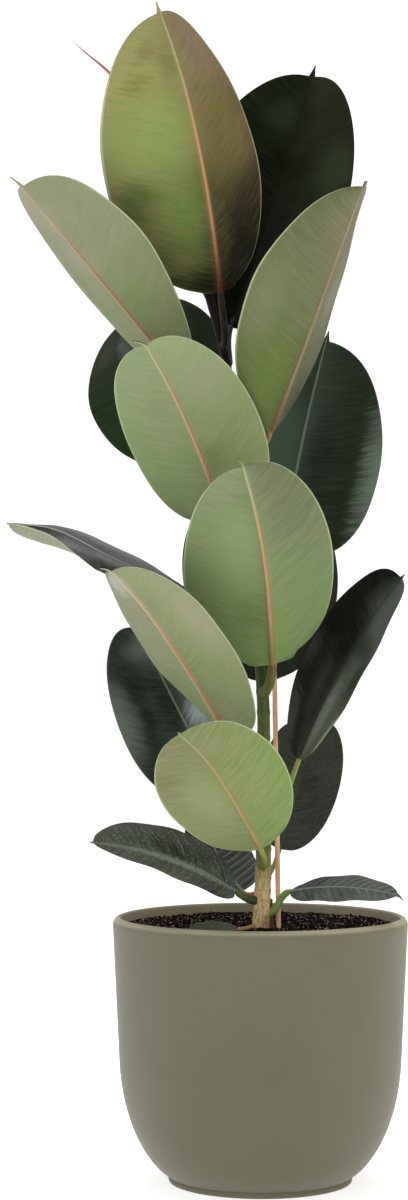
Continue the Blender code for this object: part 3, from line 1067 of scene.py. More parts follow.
@dataclass
class Soil:
    """Lumpy soil that fills the pot up to its level, with loose crumbs and grit on top."""
    pot: Pot
    top: float = 0.2137
    gap: float = 0.0003
    rim_gap: float = 0.0025
    sides: int = 260
    top_rows: int = 110
    wall_rows: int = 12
    middle: float = 0.0008
    crowding: float = 0.75
    shoulder: float = 0.004
    under: float = 0.001
    lump: float = 0.0007
    lump_size: float = 0.011
    wave: float = 0.7
    wave_size: float = 0.045
    heap: float = 0.0015
    heap_place: tuple[float, float] = (0.001, -0.029)
    heap_spread: float = 0.016
    crumbs: int = 3200
    crumb_sizes: tuple[float, float] = (0.5 * MM, 1.7 * MM)
    grit: int = 2400
    grit_sizes: tuple[float, float] = (0.32 * MM, 0.70 * MM)
    bias: float = 2.2
    dent: float = 0.34
    flatness: tuple[float, float] = (0.55, 1.15)
    perch: float = 0.15
    seed: int = 11

    def surface(self, x: Array, y: Array) -> Array:
        """Height of the soil: its level plus layered noise, heaped as a bell round the stem.

        Args:
            x, y: places.

        Returns:
            Heights.
        """
        points = np.stack([x, y, np.zeros_like(x)], axis=-1)
        lumps = layered_noise(points, self.lump_size, 4, self.seed) * self.lump
        waves = lattice_noise(points, self.wave_size, self.seed + 9) * self.lump * self.wave
        away = (x - self.heap_place[0]) ** 2 + (y - self.heap_place[1]) ** 2
        return self.top + lumps + waves + self.heap * np.exp(-away / self.heap_spread ** 2)

    def bed(self) -> bpy.types.Object:
        """The soil itself: rings (r cos a, r sin a) on the surface, then down the pot's inside.

        Returns:
            The soil, not yet dressed.
        """
        edge = self.pot.inner(np.array(self.top)) - self.gap
        radius = np.linspace(self.middle, 1, self.top_rows) ** self.crowding * edge
        angle = angles(self.sides)
        cover = round_places(angle, radius[:, None], 0.0)
        cover[..., 2] = self.surface(cover[..., 0], cover[..., 1])
        depth = np.linspace(self.top - self.shoulder, self.pot.floor + self.under, self.wall_rows)
        wall = round_places(angle, (self.pot.inner(depth) - self.gap)[:, None], depth[:, None])
        return loft("soil_bed", np.concatenate([cover, wall]))

    def scatter(self, name: str, count: int, sizes: tuple[float, float],
                seed: int) -> bpy.types.Object:
        """Loose grains in one mesh.

        Each is an icosahedron whose corners are moved in or out by up to a third, flattened,
        turned at random and set with its middle just over the soil. Small ones are commoner.

        Args:
            name: the piece's name.
            count: number of grains.
            sizes: smallest and largest radius.
            seed: random seed.

        Returns:
            The grains, not yet dressed.
        """
        draw = np.random.default_rng(seed)
        golden = (1 + 5 ** 0.5) / 2
        corners = np.array([(0, a, b * golden) for a in (-1, 1) for b in (-1, 1)], dtype=float)
        corners = unit(np.vstack([np.roll(corners, k, axis=1) for k in range(3)]))
        near = np.linalg.norm(corners[:, None] - corners[None], axis=-1) < 1.1
        faces = [(i, j, k) for i, j, k in itertools.combinations(range(len(corners)), 3)
                 if near[i, j] and near[j, k] and near[i, k]]
        faces = np.array([f if np.dot(corners[f[0]], np.cross(corners[f[1]], corners[f[2]])) > 0
                          else f[::-1] for f in faces])
        low, high = sizes
        size = low * (high / low) ** (draw.random(count) ** self.bias)
        limit = self.pot.inner(np.array(self.top)) - self.rim_gap
        reach, turn = limit * np.sqrt(draw.random(count)), draw.random(count) * math.tau
        x, y = reach * np.cos(turn), reach * np.sin(turn)
        shape = corners[None] * (1 + draw.uniform(-self.dent, self.dent, (count, len(corners), 1)))
        shape = shape * draw.uniform(*self.flatness, (count, 1, 3)) * size[:, None, None]
        turns, _ = np.linalg.qr(draw.normal(size=(count, 3, 3)))
        turns = turns * np.sign(np.linalg.det(turns))[:, None, None]
        centre = np.stack([x, y, self.surface(x, y) + size * self.perch], axis=-1)
        points = np.einsum("nij,nkj->nki", turns, shape) + centre[:, None]
        faces = faces + np.arange(count)[:, None, None] * len(corners)
        return new_object(name, points.reshape(-1, 3), faces.reshape(-1, 3).tolist())

    def build(self) -> None:
        """Make and dress the soil, its crumbs and its grit."""
        settle(self.bed(), [SoilFinish().material("soil_mix")], "soil")
        crumbs = self.scatter("soil_crumbs", self.crumbs, self.crumb_sizes, self.seed + 1)
        settle(crumbs, [SoilFinish(brown=srgb(34, 20, 14)).material("soil_crumb")])
        grit = self.scatter("soil_grit", self.grit, self.grit_sizes, self.seed + 2)
        settle(grit, [GritFinish().material("grit")])


@dataclass
class Stem:
    """Woody stem that leans left as it climbs, swollen at its joints. Knots are x, y, z, r."""
    knots: tuple = (
        (0.0005, -0.0290, 0.190, 0.0069),
        (0.0005, -0.0290, 0.213, 0.0070),
        (0.0027, -0.0285, 0.270, 0.0065),
        (0.0025, -0.0270, 0.340, 0.0057),
        (0.0020, -0.0260, 0.415, 0.0052),
        (-0.0100, -0.0210, 0.540, 0.0048),
        (-0.0205, -0.0170, 0.620, 0.0045),
        (-0.0290, -0.0150, 0.693, 0.0041),
        (-0.0450, -0.0140, 0.754, 0.0036),
        (-0.0590, -0.0130, 0.800, 0.0032),
        (-0.0720, -0.0120, 0.842, 0.0028),
    )
    joints: tuple = (0.222, 0.228, 0.238, 0.246, 0.257, 0.266, 0.281, 0.300, 0.322, 0.350, 0.374,
                     0.395, 0.412, 0.440, 0.470, 0.510, 0.545, 0.580, 0.600, 0.625, 0.640, 0.690,
                     0.705, 0.760, 0.800)
    swelling: float = 0.09
    swelling_width: float = 1.6 * MM
    scar_rise: float = 1.0 * MM
    scar_width: float = 0.7 * MM
    furrow: float = 0.045
    furrow_size: float = 0.0021
    furrow_round: float = 0.005
    furrow_along: float = 0.22
    cork_end: tuple[float, float] = (0.25, 0.32)
    probe: float = 0.01
    sides: int = 40
    steps: int = 44
    route: Array = field(init=False)

    def __post_init__(self) -> None:
        """Work out the centre line."""
        self.route = smooth_route(self.knots, self.steps)

    def at(self, height: float) -> tuple[Array, Array, float]:
        """The stem at a height.

        Args:
            height: over the floor.

        Returns:
            Its centre, direction and radius there.
        """
        rows = self.route
        here = np.array([np.interp(height, rows[:, 2], rows[:, i]) for i in range(4)])
        above = np.array([np.interp(height + self.probe, rows[:, 2], rows[:, i])
                          for i in range(3)])
        return here[:3], unit(above - here[:3]), float(here[3])

    def build(self) -> bpy.types.Object:
        """Make and dress the stem.

        The radius is the route's, swollen at each joint as a bell exp(-(z / w)^2), plus furrows
        of noise that run along the bark and fade above the cork. The third part of the attribute
        scar is a narrower bell just over each joint.

        Returns:
            The stem.
        """
        height = self.route[:, 2:3]
        above = height - np.array(self.joints)
        bells = np.exp(-(above / self.swelling_width) ** 2).sum(axis=1)
        scars = np.exp(-((above - self.scar_rise) / self.scar_width) ** 2).sum(axis=1)
        places = round_places(angles(self.sides), self.furrow_round, height * self.furrow_along)
        cork = 1 - 0.8 * rise(*self.cork_end, height)
        furrows = layered_noise(places, self.furrow_size, 3, 5) * cork
        wide = self.route[:, 3] * (1 + self.swelling * bells)
        radius = wide[:, None] * (1 + self.furrow * furrows)
        scar = np.zeros((*radius.shape, 3))
        scar[..., 2] = np.clip(scars, 0, 1)[:, None] * 0.8
        item = swept("stem_bark", self.route[:, :3], radius, {"scar": scar})
        return settle(item, [BarkFinish().material("bark")], "stem")


@dataclass
class Stake:
    """Thin split cane that the stem stands against."""
    foot: Triple = (0.0165, -0.0180, 0.150)
    top: Triple = (0.0111, -0.0100, 0.495)
    radius: float = 0.002068
    roughness: float = 0.05
    easing: float = 0.35
    rows: int = 160
    sides: int = 28

    def build(self) -> bpy.types.Object:
        """Make and dress the stake.

        The section is a rounded square: r (|cos a|^4 + |sin a|^4)^(-1/8), with faint noise along
        it, and both ends are eased over one millimetre.

        Returns:
            The stake.
        """
        t = np.linspace(0, 1, self.rows)[:, None]
        line = np.array(self.foot) * (1 - t) + np.array(self.top) * t
        angle = angles(self.sides)
        square = (np.abs(np.cos(angle)) ** 4 + np.abs(np.sin(angle)) ** 4) ** (-1 / 8)
        rough = layered_noise(round_places(angle, 0.003, t * 0.03), 0.002, 2, 3)
        ease = 1 - self.easing * (rise(0.997, 1.0, t) + 1 - rise(0.0, 0.003, t))
        radius = self.radius * square[None] * (1 + self.roughness * rough) * ease
        item = swept("stake_cane", line, radius)
        return settle(item, [WoodFinish().material("cane")], "stake")


@dataclass
class Stub:
    """Dried stub of an old shoot beside the stem. Knots are x, y, z, radius."""
    knots: tuple = (
        (0.0104, -0.0185, 0.205, 0.0019),
        (0.0100, -0.0190, 0.214, 0.0019),
        (0.0088, -0.0180, 0.228, 0.0017),
        (0.0092, -0.0170, 0.2385, 0.0012),
    )
    roughness: float = 0.16
    sides: int = 24
    steps: int = 14

    def build(self) -> bpy.types.Object:
        """Make and dress the stub: radius r (1 + k noise), with k its roughness.

        Returns:
            The stub.
        """
        route = smooth_route(self.knots, self.steps)
        places = round_places(angles(self.sides), 0.003, route[:, 2:3] * 0.5)
        radius = route[:, 3:4] * (1 + self.roughness * layered_noise(places, 0.002, 3, 8))
        item = swept("dry_stub", route[:, :3], radius)
        return settle(item, [DryFinish().material("dry_bark")], "stem_stub")


@dataclass
class Sheath:
    """Pointed red sheath round the newest leaf. Knots are x, y, z, radius."""
    knots: tuple = (
        (-0.0708, -0.0121, 0.8380, 0.0026),
        (-0.0765, -0.0118, 0.8540, 0.0031),
        (-0.0870, -0.0090, 0.8800, 0.0034),
        (-0.1070, -0.0050, 0.9170, 0.0023),
        (-0.1290, -0.0020, 0.9415, 0.0014),
        (-0.1480, -0.0005, 0.9580, 0.0007),
        (-0.1580, 0.0000, 0.9670, 0.00022),
    )
    lap: float = 0.05
    laps: int = 3
    winding: float = 40.0
    sides: int = 28
    steps: int = 20

    def build(self) -> bpy.types.Object:
        """Make and dress the sheath: radius r (1 + k cos(n a + w z)), a rolled, lapped skin.

        Here k is the lap, n the number of laps and w their winding.

        Returns:
            The sheath.
        """
        route = smooth_route(self.knots, self.steps)
        lap = np.cos(self.laps * angles(self.sides)[None] + self.winding * route[:, 2:3])
        item = swept("tip_sheath", route[:, :3], route[:, 3:4] * (1 + self.lap * lap))
        materials = [SheathFinish().material("sheath_skin")]
        return settle(item, materials, "apical_sheath")


class Skin(Enum):
    """The material slots of a leaf."""
    UPPER = 0
    UNDER = 1
    STALK = 2


@dataclass(frozen=True)
class Trough:
    """A midrib that humps and a first side that hangs below it and rolls up by the tip."""
    hump: float = 0.0064
    hang: float = 0.107
    dip: float = 0.92
    curl: float = 0.9
    lid: float = 0.10
    tuck: float = 0.13

    def offset(self, v: Array, t: Array, half: Array, plain: Array) -> Array:
        """Height of the blade over its midrib line.

        The hump m rises past the middle and sinks at the tip. The second side is the plain form
        plus m (1 - v), tucked down by the tip. The first side is m + h (-d sin(pi |v|) + c v^4),
        where the dip d grows from just past the middle, and c sinks to minus the hang, curls up
        again and closes like a lid by the tip.

        Args:
            v: share of the half width, below 0 on the first side.
            t: share of the length.
            half: half width.
            plain: the plain form's height.

        Returns:
            Heights.
        """
        hump = self.hump * rise(0.47, 0.80, t) * (1 - 0.8 * rise(0.80, 1.0, t))
        low = -self.dip * np.clip(t - 0.54, 0, 0.28) * np.sin(math.pi * np.abs(v))
        level = (self.curl * np.clip(t - 0.56, 0, None) - self.hang * rise(0.1, 0.5, t)
                 + self.lid * rise(0.84, 0.97, t))
        second = plain + hump * (1 - v) - half * self.tuck * rise(0.76, 0.92, t) * v
        return np.where(v < 0, hump + half * (low + level * v ** 4), second)


@dataclass(frozen=True)
class Anatomy:
    """What all leaves share, in metres where it is a length."""
    stalk: float = 0.0012                           # stalk radius, plus a share of the width
    stalk_share: float = 0.011
    root: float = 0.0012                            # depth of the stalk's foot in the stem
    leave: float = 0.0082                           # handle of the stalk's curve at the stem
    arrive: float = 0.45                            # and at the blade, over the stalk's length
    heel: float = 0.92                              # midrib over stalk radius, where they meet
    tip: float = 0.3 * MM                           # half width of the drip tip's end
    margin: float = 0.0002                          # added to each half width
    thin: float = 0.4 * MM                          # half the blade's thickness
    soft: float = 0.25 * MM                         # how softly midrib and blade meet
    pitch: float = 2.2 * MM                         # gap of side veins, plus a share of the width
    pitch_share: float = 0.005
    slope: float = 0.42                             # rise of a side vein per distance out
    bend: float = 0.10                              # and its upturn at the edge, over half width
    swell: float = 1.2 * MM                         # height of the broad waves
    blade_step: float = 1.05 * MM                   # between stations
    stalk_step: float = 0.9 * MM
    drip_steps: int = 16
    rib_places: tuple = (0.0, 0.30, 0.58, 0.82, 1.0)
    blade_places: tuple = (0.03, 0.07, 0.13, 0.20, 0.28, 0.37, 0.46, 0.55, 0.64, 0.73, 0.81, 0.88,
                           0.94, 0.975, 0.992, 1.0)


@dataclass
class Spine:
    """The stations of a leaf, from the stalk's foot to the end of the drip tip.

    Centre, side and face have shape (n, 3), the others shape (n,): share is the share of the
    blade's length, below 0 on the stalk; run is the distance along from the blade's base; half is
    the blade's half width; rib is the radius of stalk or midrib.
    """
    centre: Array
    side: Array
    face: Array
    share: Array
    run: Array
    half: Array
    rib: Array


@dataclass
class Leaf:
    """One leaf: its stalk, its blade's two ends, the blade's form and its colours.

    The midrib is the line from base to tip plus a parabola of height lift and sway. The upper face
    starts as upright as that line allows, turned by roll, and turns by twist along the way. Half
    the width is s^heel (1 - s)^toe, scaled to its widest, with a narrow drip tip after the body.
    """
    number: int
    foot: float
    base: Triple
    tip: Triple
    width: float
    roll: float
    fold: float
    lift: float = 0.0
    sway: float = 0.0
    heel: float = 0.45
    toe: float = 0.50
    twist: float = 0.0
    cup: float = 0.0
    curl: tuple = (0.0, 0.0)
    drip: float = 0.012
    leave: Optional[tuple] = None
    neck: float = 0.0014
    hook: Triple = (0.0, 0.0, 0.0)
    wander: tuple = (0.0, 0.0, 0.0, 0.0, 0.0)
    keel: float = 1.0
    petiole: float = 1.0
    ripple: float = 0.6
    quilt: float = 0.05
    quilting: float = 2.0
    trough: Optional[Trough] = None
    tone: LeafTone = LeafTone()
    plan: Anatomy = Anatomy()

    def length(self) -> float:
        """Straight length from base to tip."""
        return float(np.linalg.norm(np.subtract(self.tip, self.base)))

    def body(self) -> float:
        """Share of the length before the drip tip."""
        return 1 - self.drip / self.length()

    def midrib(self, t: Array) -> tuple[Array, Array, Array, Array]:
        """Lay out the midrib.

        Args:
            t: shares of the length.

        Returns:
            Points with the tangent, side and face directions, each of shape (n, 3).
        """
        base, tip = np.array(self.base), np.array(self.tip)
        axis = unit(tip - base)
        upright = unit(np.array([0.0, 0.0, 1.0]) - axis[2] * axis)
        roll = math.radians(self.roll)
        face = upright * math.cos(roll) + np.cross(axis, upright) * math.sin(roll)
        across = np.cross(axis, face)
        t = t[:, None]
        arch = self.lift * face + self.sway * across
        points = base + (tip - base) * t + 4 * t * (1 - t) * arch
        along = unit((tip - base) + (4 - 8 * t) * arch)
        turn = math.radians(self.twist) * (t - 0.5)
        side = unit(np.cross(along, face * np.cos(turn) + across * np.sin(turn)))
        return points, along, side, np.cross(side, along)

    def half_width(self, t: Array) -> Array:
        """Find half the blade's width.

        The blade is s^heel (1 - s)^toe scaled to its widest, and nothing past its body. The drip
        tip is e + (n - e) u^1.4, with u the distance to its end over its length, e the half width
        there and n the neck's. The two run into each other in a small hollow curve.

        Args:
            t: shares of the length.

        Returns:
            Half widths.
        """
        s = np.clip(t / self.body(), 0, 1)
        widest = self.heel / (self.heel + self.toe)
        peak = widest ** self.heel * (1 - widest) ** self.toe
        blade = self.width / 2 * s ** self.heel * (1 - s) ** self.toe / peak
        u = (1 - t) * self.length() / self.drip
        spike = self.plan.tip + (self.neck - self.plan.tip) * u ** 1.4
        hollow = 1.3 * MM * np.clip(u, 0, 1)
        return soft_max(blade, spike * rise(4.0, 2.0, u), hollow) + self.plan.margin

    def stations(self) -> Array:
        """Shares of the length, close together at both ends of the body and on the drip tip."""
        body = self.body()
        u = np.linspace(0, 1, int(self.length() / self.plan.blade_step))
        s = 0.15 * u + 0.85 * (0.5 - 0.5 * np.cos(math.pi * u))
        drip = np.linspace(0, 1, self.plan.drip_steps)[1:]
        return np.concatenate([s * body, body + (1 - body) * drip])

    def stalk_line(self, stem: Stem) -> tuple[Array, Array, Array]:
        """Lay out the stalk along a Bezier curve from inside the stem's skin to the blade.

        Args:
            stem: the stem that it grows from.

        Returns:
            Centres, side and face directions, each of shape (n, 3).
        """
        plan = self.plan
        centre, direction, radius = stem.at(self.foot)
        base = np.array(self.base)
        reach = np.array([*self.leave, 0.0]) if self.leave else base - centre
        out = unit(reach - direction * (reach @ direction))
        start = centre + out * (radius - plan.root)
        _, along, side, _ = self.midrib(np.zeros(1))
        length = np.linalg.norm(base - start)
        controls = start, start + out * plan.leave, base - along[0] * length * plan.arrive, base
        count = max(16, int(length / plan.stalk_step))
        t = (np.arange(count) / count)[:, None]
        weights = (1 - t) ** 3, 3 * (1 - t) ** 2 * t, 3 * (1 - t) * t ** 2, t ** 3
        line = sum(weight * point for weight, point in zip(weights, controls))
        tangent = unit(np.diff(np.vstack([line, base]), axis=0))
        across = unit(side[0] - tangent * (tangent @ side[0])[:, None])
        return line, across, np.cross(across, tangent)

    def spine(self, stem: Stem) -> Spine:
        """Lay out stalk and blade.

        The stalk's radius is r (1 + 0.35 (1 - s)^4), with s from 0 at its foot to 1 at the blade,
        and runs into the midrib's, which is (0.44 + 0.56 (1 - t)^2) (1 - 0.85 t^14) of what it is
        at the blade's base. The drip tip is hooked by q^2, with q from 0 to 1 along it.

        Args:
            stem: the stem that the stalk grows from.

        Returns:
            The stations.
        """
        line, stalk_side, stalk_face = self.stalk_line(stem)
        t = self.stations()
        points, along, side, face = self.midrib(t)
        q = np.clip((t - self.body()) / (1 - self.body()), 0, 1)[:, None]
        sideways, facewards, shorter = (share * self.drip for share in self.hook)
        points = points + q ** 2 * (sideways * side + facewards * face) - shorter * q * along
        radius = self.plan.stalk + self.plan.stalk_share * self.width
        heel = radius * self.keel * self.plan.heel
        s = np.arange(len(line)) / len(line)
        flare = self.petiole * radius * (1.0 + 0.35 * (1 - s) ** 4)
        rib = heel * (0.44 + 0.56 * (1 - t) ** 2.0) * (1 - 0.85 * t ** 14)
        steps = np.linalg.norm(np.diff(np.vstack([line, self.base]), axis=0), axis=1)
        return Spine(np.concatenate([line, points]),
                     np.concatenate([stalk_side, side]),
                     np.concatenate([stalk_face, face]),
                     np.concatenate([s - 1, t]),
                     np.concatenate([-np.cumsum(steps[::-1])[::-1], t * self.length()]),
                     np.concatenate([np.full(len(line), 1e-6), self.half_width(t)]),
                     np.concatenate([flare + (heel - flare) * rise(0.85, 1.0, s), rib]))

    def section(self, spine: Spine) -> tuple[Array, Array]:
        """Outline each station's section.

        Across the midrib, points spread over its width and then over the blade, where the half
        width passes the midrib's radius r, and round a circle where it doesn't. The midrib is an
        oval of radius r, sunk so that it stands out below, with a groove 0.3 r deep on top. The
        blade is 0.8 mm thick and thins as sqrt(1 - v^8) to its edge.

        Args:
            spine: the stations.

        Returns:
            Distance across and height of each point, shape (n, points): over the top from the
            first side's edge to the second's, and back below.
        """
        rib = spine.rib[:, None]
        wide = np.maximum(spine.half, spine.rib * 1.001)[:, None]
        count = len(self.plan.rib_places) + len(self.plan.blade_places)
        round_x = rib * np.sin(math.pi / 2 * np.arange(count) / (count - 1))
        flat_x = np.concatenate([rib * np.array(self.plan.rib_places),
                                 rib + (wide - rib) * np.array(self.plan.blade_places)], axis=1)
        spread = rise(1.0, 1.8, spine.half / spine.rib)[:, None]
        x = (1 - spread) * round_x + spread * flat_x
        begun = rise(0.0, 0.05, spine.share)[:, None]
        sunk = 0.50 * rib * begun
        oval = (1 - 0.22 * begun) * np.sqrt(np.clip(rib ** 2 - x ** 2, 0, None))
        v = np.clip(x / wide, 0, 1)
        thick = self.plan.thin * np.sqrt(1 - v ** 8) * spread
        soft = self.plan.soft * spread
        groove = 0.30 * rib * np.exp(-(x / (0.42 * rib)) ** 2) * spread
        inside = x < rib * 1.0001
        top = np.where(inside, soft_max(thick, oval - sunk, soft) - groove, thick)
        bottom = np.where(inside, -soft_max(thick, oval + sunk, soft), -thick)
        top[:, -1] = bottom[:, -1] = 0.0
        return (np.concatenate([-x[:, :0:-1], x, x[:, -2:0:-1], -x[:, :-1]], axis=1),
                np.concatenate([top[:, :0:-1], top, bottom[:, -2:0:-1], bottom[:, :-1]], axis=1))

    def veins(self, x: Array, y: Array, half: Array) -> Array:
        """Count the side veins passed: (y - slope |x| - bend h v^3) / pitch, gently uneven.

        Args:
            x: distance across.
            y: distance along from the blade's base.
            half: half width h.

        Returns:
            Counts, whole on a vein.
        """
        plan = self.plan
        v = np.abs(x) / half
        pitch = plan.pitch + plan.pitch_share * self.width
        points = np.stack([x, y, np.full_like(x, self.number * 0.1)], axis=-1)
        uneven = lattice_noise(points, 0.022, self.number) * 0.3
        return (y - plan.slope * np.abs(x) - plan.bend * half * v ** 3) / pitch + uneven

    def relief(self, x: Array, t: Array, half: Array, vein: Array) -> Array:
        """Find how far the blade stands off its plain form.

        Between midrib and edge it pillows by |sin(pi vein / n)|, broad noise lifts it by up to
        1.2 mm, and its edge ripples by v^4 sin(2 pi (3 t + k)).

        Args:
            x: distance across.
            t: share of the length.
            half: half width.
            vein: count of side veins.

        Returns:
            Heights.
        """
        v = x / half
        within = np.clip(np.abs(v) * (1 - np.abs(v) ** 3) * 2.1, 0, 1)
        pillow = self.quilt * MM * (np.abs(np.sin(math.pi * vein / self.quilting)) - 0.6) * within
        places = np.stack([x, t * self.length(), np.full_like(x, self.number)], axis=-1)
        broad = lattice_noise(places, 0.060, 40 + self.number) * self.plan.swell * np.abs(v)
        phase = self.number * 0.37 + np.where(v < 0, 0.4, 0.0)
        ripple = self.ripple * MM * v ** 4 * np.sin(math.tau * (3.0 * t + phase))
        return (pillow + broad + ripple) * rise(0.0, 0.08, t) * rise(1.0, 0.93, t)

    def form(self, across: Array, share: Array, wide: Array, rib: Array,
             vein: Array) -> tuple[Array, Array]:
        """Fold, cup and bend the blade.

        A point goes x cos(f) + w (1 - v^2) sideways and b sin(f) + h c v^2 + relief facewards,
        with f the fold, w the midrib's wander, b the distance beyond the midrib, c the cup and h
        the half width. The cup may grow as t^2 on one side.

        Args:
            across: distance x from the midrib.
            share: share of the length, below 0 on the stalk.
            wide: half width h.
            rib: radius of stalk or midrib.
            vein: count of side veins.

        Returns:
            Shifts along the side and the face direction.
        """
        t = np.clip(share, 0, 1)
        v = across / wide
        blade = rise(0.0, 0.01, share)
        fold = math.radians(self.fold)
        beyond = np.clip(np.abs(across) - rib * 0.6, 0, None)
        cup = self.cup + np.where(across < 0, *self.curl) * t ** 2
        lift = beyond * math.sin(fold) + wide * cup * v ** 2
        if self.trough:
            lift = self.trough.offset(v, t, wide, lift)
        knots = smooth_route([(i / 4, w * MM) for i, w in enumerate(self.wander)], 12)
        stray = np.interp(t, knots[:, 0], knots[:, 1]) * blade
        place = across * (1 + (math.cos(fold) - 1) * blade) + stray * (1 - v ** 2)
        return place, (lift + self.relief(across, t, wide, vein)) * blade

    def build(self, stem: Stem) -> bpy.types.Object:
        """Make and dress the leaf.

        Args:
            stem: the stem that the stalk grows from.

        Returns:
            The leaf.
        """
        spine = self.spine(stem)
        across, height = self.section(spine)
        share, run, half, rib = (np.broadcast_to(row[:, None], across.shape)
                                 for row in (spine.share, spine.run, spine.half, spine.rib))
        wide = np.maximum(half, rib)
        vein = self.veins(across, run, wide)
        sideways, facewards = self.form(across, share, wide, rib, vein)
        rings = (spine.centre[:, None] + spine.side[:, None] * sideways[..., None]
                 + spine.face[:, None] * (facewards + height)[..., None])
        rows = {"flat": (across, run, np.full_like(across, self.number * NUMBER_SPAN)),
                "place": (across / wide, share, np.abs(across) / rib),
                "vein": (vein, np.abs(across) / VEIN_REACH,
                         SIDE_SPAN * rise(-0.5 * MM, 0.5 * MM, across))}
        slots = np.full(across[:-1].shape, Skin.UNDER.value)
        slots[:, :across.shape[1] // 2] = Skin.UPPER.value
        slots[spine.share[:-1] < 0] = Skin.STALK.value
        item = loft(f"rubber_leaf_{self.number:02d}", rings,
                    {key: np.stack(values, axis=-1) for key, values in rows.items()}, slots)
        node = f"leaf_{self.number:02d}"
        finishes = {"upper": UpperFinish, "under": UnderFinish, "stalk": StalkFinish}
        materials = [finish(self.tone).material(f"{node}_{kind}")
                     for kind, finish in finishes.items()]
        return settle(item, materials, node)


